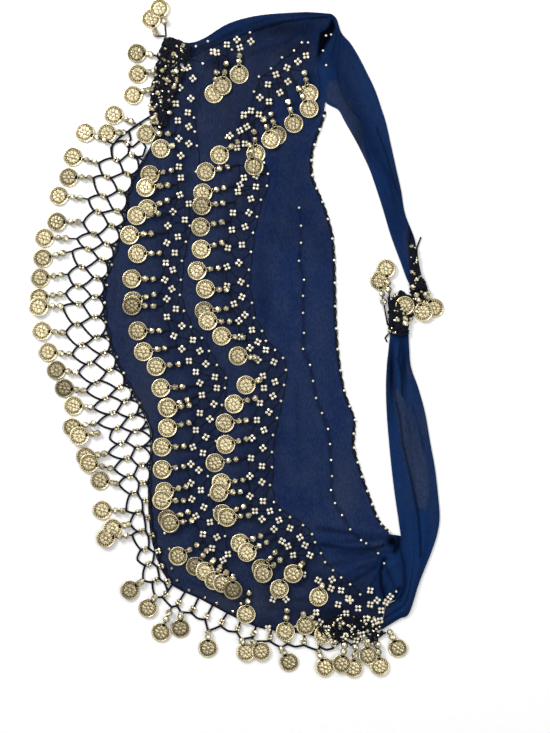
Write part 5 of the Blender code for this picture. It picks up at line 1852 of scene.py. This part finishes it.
class SCARF_OT_net(bpy.types.Operator):
    """Crochet the net along the hem and its bunched end"""

    bl_idname = "scarf.net"
    bl_label = "Hem net"

    def execute(self, context):
        laid = LaidScarf(context.scene)
        sizes, thread, bead = laid.sizes, thread_finish(laid.colours), bead_finish(laid.colours)
        rng = random.Random(NET_SEED)
        roots = [drop["path"][-1] for node in LONG_STRAND_NODES for drop in read_drops(node)]
        outer = self.knots(OUTER_KNOTS)
        inner = self.knots(INNER_KNOTS)
        lines = []
        beads = []
        for start, end, _ in outer + inner:
            lines.append([start, end])
            ahead = heading(start, end)
            for side in (-KNOT_BEAD_ASIDE, KNOT_BEAD_ASIDE):
                for share in KNOT_BEAD_SHARES:
                    x = start[0] + (end[0] - start[0]) * share
                    y = start[1] + (end[1] - start[1]) * share
                    high = max(laid.height(x, y) + rng.uniform(*KNOT_BEAD_LIFTS), LOWEST_SMALL_BEAD)
                    point = (x + ahead[1] * side, y - ahead[0] * side, high)
                    beads.append((point, rng.uniform(*KNOT_BEAD_SIZES)))
        for before, after in zip(outer, outer[1:]):
            lines += self.outer_run(before, after, roots)
        for start, _, middle in inner:
            for knot in sorted(outer, key=lambda knot: math.dist(knot[2], middle))[:2]:
                lines.append(arc(start, knot[1], rng.uniform(-CELL_BOW, CELL_BOW)))
        hem = edge_points(0, *NET_HEM)
        for (_, before, _), (_, after, _) in zip(inner, inner[1:]):
            middle = ((before[0] + after[0]) / 2, (before[1] + after[1]) / 2)
            nearest = nearest_to(middle, hem)[0]
            lines.append(arc(before, nearest, HEM_BOW))
            lines.append(arc(after, nearest, -HEM_BOW))
        lines += [plan_points(readings) for readings in NET_TOP_THREADS]
        for _, end, _ in inner + outer[len(inner):]:
            nearest = nearest_to(end, hem)[0]
            if math.dist(nearest, end) < HEM_REACH:
                lines.append([end, nearest])
        for x, y in plan_points(HEM_BEADS):
            high = max(laid.height(x, y) + HEM_BEAD_LIFT, LOWEST_SMALL_BEAD)
            beads.append(((x, y, high), HEM_BEAD_SIZE))
        edge = edge_points(0, *THREADED_HEM)
        zigzag = []
        for k, (x, y) in enumerate(edge):
            zigzag.append((x + HEM_INSIDE + HEM_ZIGZAG * math.sin(k * HEM_TURN), y + HEM_UP))
        hem_lines = [[(x - HEM_OUTSIDE, y) for x, y in edge], zigzag]
        draped = [laid.drape(line, NET_LIFT, NET_STEP) for line in lines]
        hem_draped = [laid.drape(line, HEM_LIFT, NET_STEP) for line in hem_lines]
        seat(joined("hem_net_crochet", [
            make_threads("net_threads", draped, sizes.net_thread, thread),
            make_threads("hem_threads", hem_draped, sizes.band_thread, thread),
            make_beads("net_beads", beads, sizes.small_bead_radius, bead, NET_BEAD_SEED),
        ]), "hem_net")
        tangle, scattered = bunch(TOP_BUNCH, *TOP_BUNCH_FILL, laid, TOP_BUNCH_SEED)
        radius = sizes.small_bead_radius * BUNCH_BEAD_SHARE
        seat(joined("bunched_net_crochet", [
            make_threads("bunch_threads", tangle, sizes.net_thread, thread),
            make_beads("bunch_beads", scattered, radius, bead, BUNCH_BEAD_SEED),
        ]), "net_gather")
        return {"FINISHED"}

    def knots(self, table):
        """Outer end, inner end and middle of each knot, laid across its row."""
        points = plan_points(table)
        found = []
        for k, (x, y) in enumerate(points):
            ahead = heading(points[max(k - 1, 0)], points[min(k + 1, len(points) - 1)])
            out = (ahead[1] * HALF_KNOT, -ahead[0] * HALF_KNOT)
            found.append(((x + out[0], y + out[1]), (x - out[0], y - out[1]), (x, y)))
        return found

    def outer_run(self, before, after, roots):
        """Thread round the outside of one cell, through the fringe roots beside it."""
        start, end = before[0], after[0]
        ahead = heading(start, end)
        bulge, bow = (SIDE_BULGE, SIDE_BOW) if abs(ahead[1]) > abs(ahead[0]) else (END_BULGE, END_BOW)
        passed = []
        for x, y, _ in roots:
            along = (x - start[0]) * ahead[0] + (y - start[1]) * ahead[1]
            away = (x - start[0]) * ahead[1] - (y - start[1]) * ahead[0]
            if 0 <= along < math.dist(start, end) and abs(away) < ROOT_REACH:
                passed.append((along, (x, y)))
        if not passed:
            middle = ((start[0] + end[0]) / 2 + ahead[1] * bulge, (start[1] + end[1]) / 2 - ahead[0] * bulge)
            passed = [(0, middle)]
        stops = [start] + [point for _, point in sorted(passed)] + [end]
        return [arc(first, second, bow) for first, second in zip(stops, stops[1:])]


# Seeds of the waist edge and of its beads
WAIST_SEED, WAIST_BEAD_SEED = 17, 8
# Waist edge: its sections and runs, its two threads' distances outside it, the picot's distance, depth and
# turn from point to point, and their heights
WAIST_EDGE = (5.5, 20.5, 330)
WAIST_THREADS = (0.2, 1.1)
WAIST_HEIGHT = 1.1
PICOT_OUT = 1.6
PICOT_DEPTH = 1.1
PICOT_TURN = 0.55
PICOT_HEIGHT = 1.2
# Its beads: the first one's point, the points to the next, slide along the picot, height and size
FIRST_WAIST_BEAD = 5
WAIST_BEAD_STEP = 12
WAIST_BEAD_SLIDE = 0.4
WAIST_BEAD_HEIGHT = 2.0
WAIST_BEAD_SIZE = 0.9
SEAM_BEAD_SIZE = 0.8
# Lift of single beads and of bead flowers above the cloth, and the size of a picot's bead
SINGLE_LIFT = 1.1
FLOWER_LIFT = 1.2
PICOT_BEAD_SIZE = 0.85
# Thickness of the waist's threads against the bands'
WAIST_THREAD_SHARE = 1.2


class SCARF_OT_waist_edge(bpy.types.Operator):
    """Crochet the picot edge and the beads along the waist"""

    bl_idname = "scarf.waist_edge"
    bl_label = "Waist edge"

    def execute(self, context):
        laid = LaidScarf(context.scene)
        rng = random.Random(WAIST_SEED)
        edge = edge_points(1, *WAIST_EDGE)
        lines = [[(x + out, y, WAIST_HEIGHT) for x, y in edge] for out in WAIST_THREADS]
        picot = []
        for k, (x, y) in enumerate(edge):
            picot.append((x + PICOT_OUT + PICOT_DEPTH * abs(math.sin(k * PICOT_TURN)), y, PICOT_HEIGHT))
        lines.append(picot)
        beads = []
        for x, y in edge[FIRST_WAIST_BEAD::WAIST_BEAD_STEP]:
            slide = rng.uniform(-WAIST_BEAD_SLIDE, WAIST_BEAD_SLIDE)
            beads.append(((x + PICOT_OUT + slide, y, WAIST_BEAD_HEIGHT), WAIST_BEAD_SIZE))
        for x, y in plan_points(SEAM_BEADS + HOLLOW_BEADS):
            beads.append(((x, y, laid.height(x, y) + SINGLE_LIFT), SEAM_BEAD_SIZE))
        sizes, thread, seed_bead = laid.sizes, thread_finish(laid.colours), seed_finish(laid.colours)
        seat(joined("waist_picot", [
            make_threads("waist_threads", lines, sizes.band_thread * WAIST_THREAD_SHARE, thread),
            make_beads("waist_beads", beads, sizes.small_bead_radius, seed_bead, WAIST_BEAD_SEED),
        ]), "waist_edging")
        return {"FINISHED"}


# Bands: node, flowers near the coins, flowers beyond them, picot beads, and seed
BANDS = (
    ("band_outer", OUTER_FLOWERS, OUTER_FLOWERS_BEYOND, OUTER_PICOT, 11),
    ("band_inner", INNER_FLOWERS, INNER_FLOWERS_BEYOND, INNER_PICOT, 7),
    ("band_diagonal", DIAGONAL_FLOWERS, DIAGONAL_FLOWERS_BEYOND, DIAGONAL_PICOT, 5),
    ("band_top", TOP_FLOWERS, (), TOP_PICOT, 3),
)
# Ways that a flower may lie, in radians, and how far it strays from them
FLOWER_TURNS = (0.785, 0.785, 0.3, 1.2, 0.0)
FLOWER_STRAY = 0.15
# Height of a band's threads above the cloth and the step between their points
BAND_LIFT = 0.35
BAND_STEP = 4.0
# Longest thread between two flowers or beads, and from a strand's root or between picot beads
FLOWER_REACH = 26
ROW_REACH = 30
PICOT_BOW = 0.12
PICOT_RUNS = 4
# Least height of a trim's coins above their cloth: over a band, and over the hem's and tips' crochet
OVER_BAND = 0.1
OVER_CROCHET = 2.4
# Height of the strands that run on into the bunched net
BUNCH_STRAND_LIFT = 0.9
# The lower corner's flowers: seed, most turn in radians, and heights
CORNER_FLOWER_SEED = 29
CORNER_FLOWER_TURN = 1.5
CORNER_FLOWER_LIFTS = (1.2, 3.0)
# Seeds of the first fringe and of the first tip; each next one has the next number
FRINGE_SEED = 21
TIP_SEED = 31


class SCARF_OT_bands(bpy.types.Operator):
    """Crochet the bands across the cloth, with their flowers and coins"""

    bl_idname = "scarf.bands"
    bl_label = "Bands"

    def execute(self, context):
        laid = LaidScarf(context.scene)
        for node, near, beyond, picot, seed in BANDS:
            rng = random.Random(seed)
            near, beyond, picot = plan_points(near), plan_points(beyond), plan_points(picot)
            beads = []
            for x, y in near + beyond:
                turn = rng.choice(FLOWER_TURNS) + rng.uniform(-FLOWER_STRAY, FLOWER_STRAY)
                beads += flower(x, y, turn, laid.height(x, y) + FLOWER_LIFT)
            for x, y in picot:
                beads.append(((x, y, laid.height(x, y) + SINGLE_LIFT), PICOT_BEAD_SIZE))
            roots = [drop["path"][-1][:2] for drop in read_drops(node)]
            lines = self.ties(near, beyond, FLOWER_REACH) + self.ties(beyond, picot, FLOWER_REACH)
            for before, after in zip(picot, picot[1:]):
                if math.dist(before, after) < ROW_REACH:
                    lines.append(arc(before, after, PICOT_BOW, PICOT_RUNS))
            lines += self.ties(roots, near, ROW_REACH)
            lace = [laid.drape(line, BAND_LIFT, BAND_STEP) for line in lines]
            add_trim(node, laid, seed, OVER_BAND, beads, [], lace, laid.sizes.band_thread)
        return {"FINISHED"}

    def ties(self, starts, ends, reach):
        """Threads from each start to the two ends nearest to it, where they are within reach."""
        return [[start, end] for start in starts for end in nearest_to(start, ends, 2)
                if math.dist(start, end) < reach]


class SCARF_OT_fringe(bpy.types.Operator):
    """Hang the coins of the hem fringe"""

    bl_idname = "scarf.fringe"
    bl_label = "Hem fringe"

    def execute(self, context):
        laid = LaidScarf(context.scene)
        for seed, node in enumerate(FRINGE_NODES, FRINGE_SEED):
            beads = []
            scattered = []
            lines = []
            if node == "hem_fringe_top":
                # Its strands run on into the bunched net
                for drop in read_drops(node):
                    root = drop["path"][-1][:2]
                    end = nearest_to(root, plan_points(TOP_BUNCH))[0]
                    lines.append(laid.drape([root, end], BUNCH_STRAND_LIFT))
            if node == "hem_fringe_corner":
                lines, scattered = bunch(CORNER_BUNCH, *CORNER_BUNCH_FILL, laid, CORNER_BUNCH_SEED)
                rng = random.Random(CORNER_FLOWER_SEED)
                for x, y in plan_points(CORNER_FLOWERS):
                    turn = rng.uniform(0, CORNER_FLOWER_TURN)
                    beads += flower(x, y, turn, laid.height(x, y) + rng.uniform(*CORNER_FLOWER_LIFTS))
            add_trim(node, laid, seed, OVER_CROCHET, beads, scattered, lines, laid.sizes.strand_thread)
        return {"FINISHED"}


class SCARF_OT_tips(bpy.types.Operator):
    """Bind the tips of the tie tails"""

    bl_idname = "scarf.tips"
    bl_label = "Tie tips"

    def execute(self, context):
        laid = LaidScarf(context.scene)
        tips = zip(TIP_NODES, (UPPER_TIP_BUNCH, LOWER_TIP_BUNCH))
        for seed, (node, outline) in enumerate(tips, TIP_SEED):
            lines, scattered = bunch(outline, *TIP_BUNCH_FILL, laid, seed)
            if node == "tip_trim_upper":
                lines += [laid.drape(plan_points(readings), STRAND_LIFT) for readings in LOOSE_ENDS]
            add_trim(node, laid, seed, OVER_CROCHET, [], scattered, lines, laid.sizes.strand_thread)
        return {"FINISHED"}


# Half the floor's side, in metres
FLOOR_HALF = 3.0
WORLD_LIGHT = 0.36
# Round soft lights that face the origin: name, place and width in metres, and power in watts
LIGHTS = (
    ("key", (-1.1, 1.0, 1.3), 0.75, 27.0),
    ("fill", (1.1, -0.5, 1.4), 0.9, 7.0),
    ("back", (0.2, 1.5, 1.1), 0.6, 7.0),
    ("overhead", (0.0, 0.1, 2.1), 1.2, 6.0),
)
# The camera's height in metres and its sensor's width in millimetres
CAMERA_HEIGHT = 2.4
SENSOR_WIDTH = 36.0


class SCARF_OT_stage(bpy.types.Operator):
    """Set the floor, the lights and the camera"""

    bl_idname = "scarf.stage"
    bl_label = "Stage"

    def execute(self, context):
        mesh = bpy.data.meshes.new("floor")
        corners = [(-1, -1), (1, -1), (1, 1), (-1, 1)]
        mesh.from_pydata([(x * FLOOR_HALF, y * FLOOR_HALF, 0.0) for x, y in corners], [], [(0, 1, 2, 3)])
        new_object("floor", mesh, [paper_finish()])

        world = bpy.data.worlds.new("studio")
        world.use_nodes = True
        background = world.node_tree.nodes["Background"]
        background.inputs["Color"].default_value = (1.0, 1.0, 1.0, 1.0)
        background.inputs["Strength"].default_value = WORLD_LIGHT
        context.scene.world = world
        for name, place, size, power in LIGHTS:
            data = bpy.data.lights.new(name, "AREA")
            data.shape = "DISK"
            data.size = size
            data.energy = power
            lamp = bpy.data.objects.new(name, data)
            lamp.location = place
            lamp.rotation_euler = (-Vector(place)).to_track_quat("-Z", "Y").to_euler()
            context.scene.collection.objects.link(lamp)

        # Camera straight above the middle of the photograph's frame
        x, y = plan(PHOTO_ACROSS / 2, PHOTO_DOWN / 2)
        data = bpy.data.cameras.new("camera")
        data.sensor_width = SENSOR_WIDTH
        data.lens = SENSOR_WIDTH * CAMERA_HEIGHT / (PHOTO_DOWN * PIXEL_SIZE * MM)
        camera = bpy.data.objects.new("camera", data)
        camera.location = ((x + SHIFT_X) * MM, (y + SHIFT_Y) * MM, CAMERA_HEIGHT)
        context.scene.collection.objects.link(camera)
        context.scene.camera = camera
        context.scene.view_settings.view_transform = "Standard"
        return {"FINISHED"}


class SCARF_PT_panel(bpy.types.Panel):
    """Sizes, colours and steps of the scarf"""

    bl_idname = "SCARF_PT_panel"
    bl_label = "Hip scarf"
    bl_space_type = "VIEW_3D"
    bl_region_type = "UI"
    bl_category = "Scarf"

    def draw(self, context):
        for group in (context.scene.scarf_sizes, context.scene.scarf_colours):
            for name in group.__annotations__:
                self.layout.prop(group, name)
        for step in STEPS:
            self.layout.operator(step.bl_idname)


STEPS = (
    SCARF_OT_chiffon,
    SCARF_OT_net,
    SCARF_OT_waist_edge,
    SCARF_OT_bands,
    SCARF_OT_fringe,
    SCARF_OT_tips,
    SCARF_OT_stage,
)
GROUPS = (ScarfSizes, ScarfColours)


def register():
    for kind in GROUPS + STEPS + (SCARF_PT_panel,):
        bpy.utils.register_class(kind)
    bpy.types.Scene.scarf_sizes = PointerProperty(type=ScarfSizes)
    bpy.types.Scene.scarf_colours = PointerProperty(type=ScarfColours)


def unregister():
    del bpy.types.Scene.scarf_colours
    del bpy.types.Scene.scarf_sizes
    for kind in reversed(GROUPS + STEPS + (SCARF_PT_panel,)):
        bpy.utils.unregister_class(kind)


def main():
    register()
    bpy.ops.scarf.chiffon()
    bpy.ops.scarf.net()
    bpy.ops.scarf.waist_edge()
    bpy.ops.scarf.bands()
    bpy.ops.scarf.fringe()
    bpy.ops.scarf.tips()
    bpy.ops.scarf.stage()


if __name__ == "__main__":
    main()
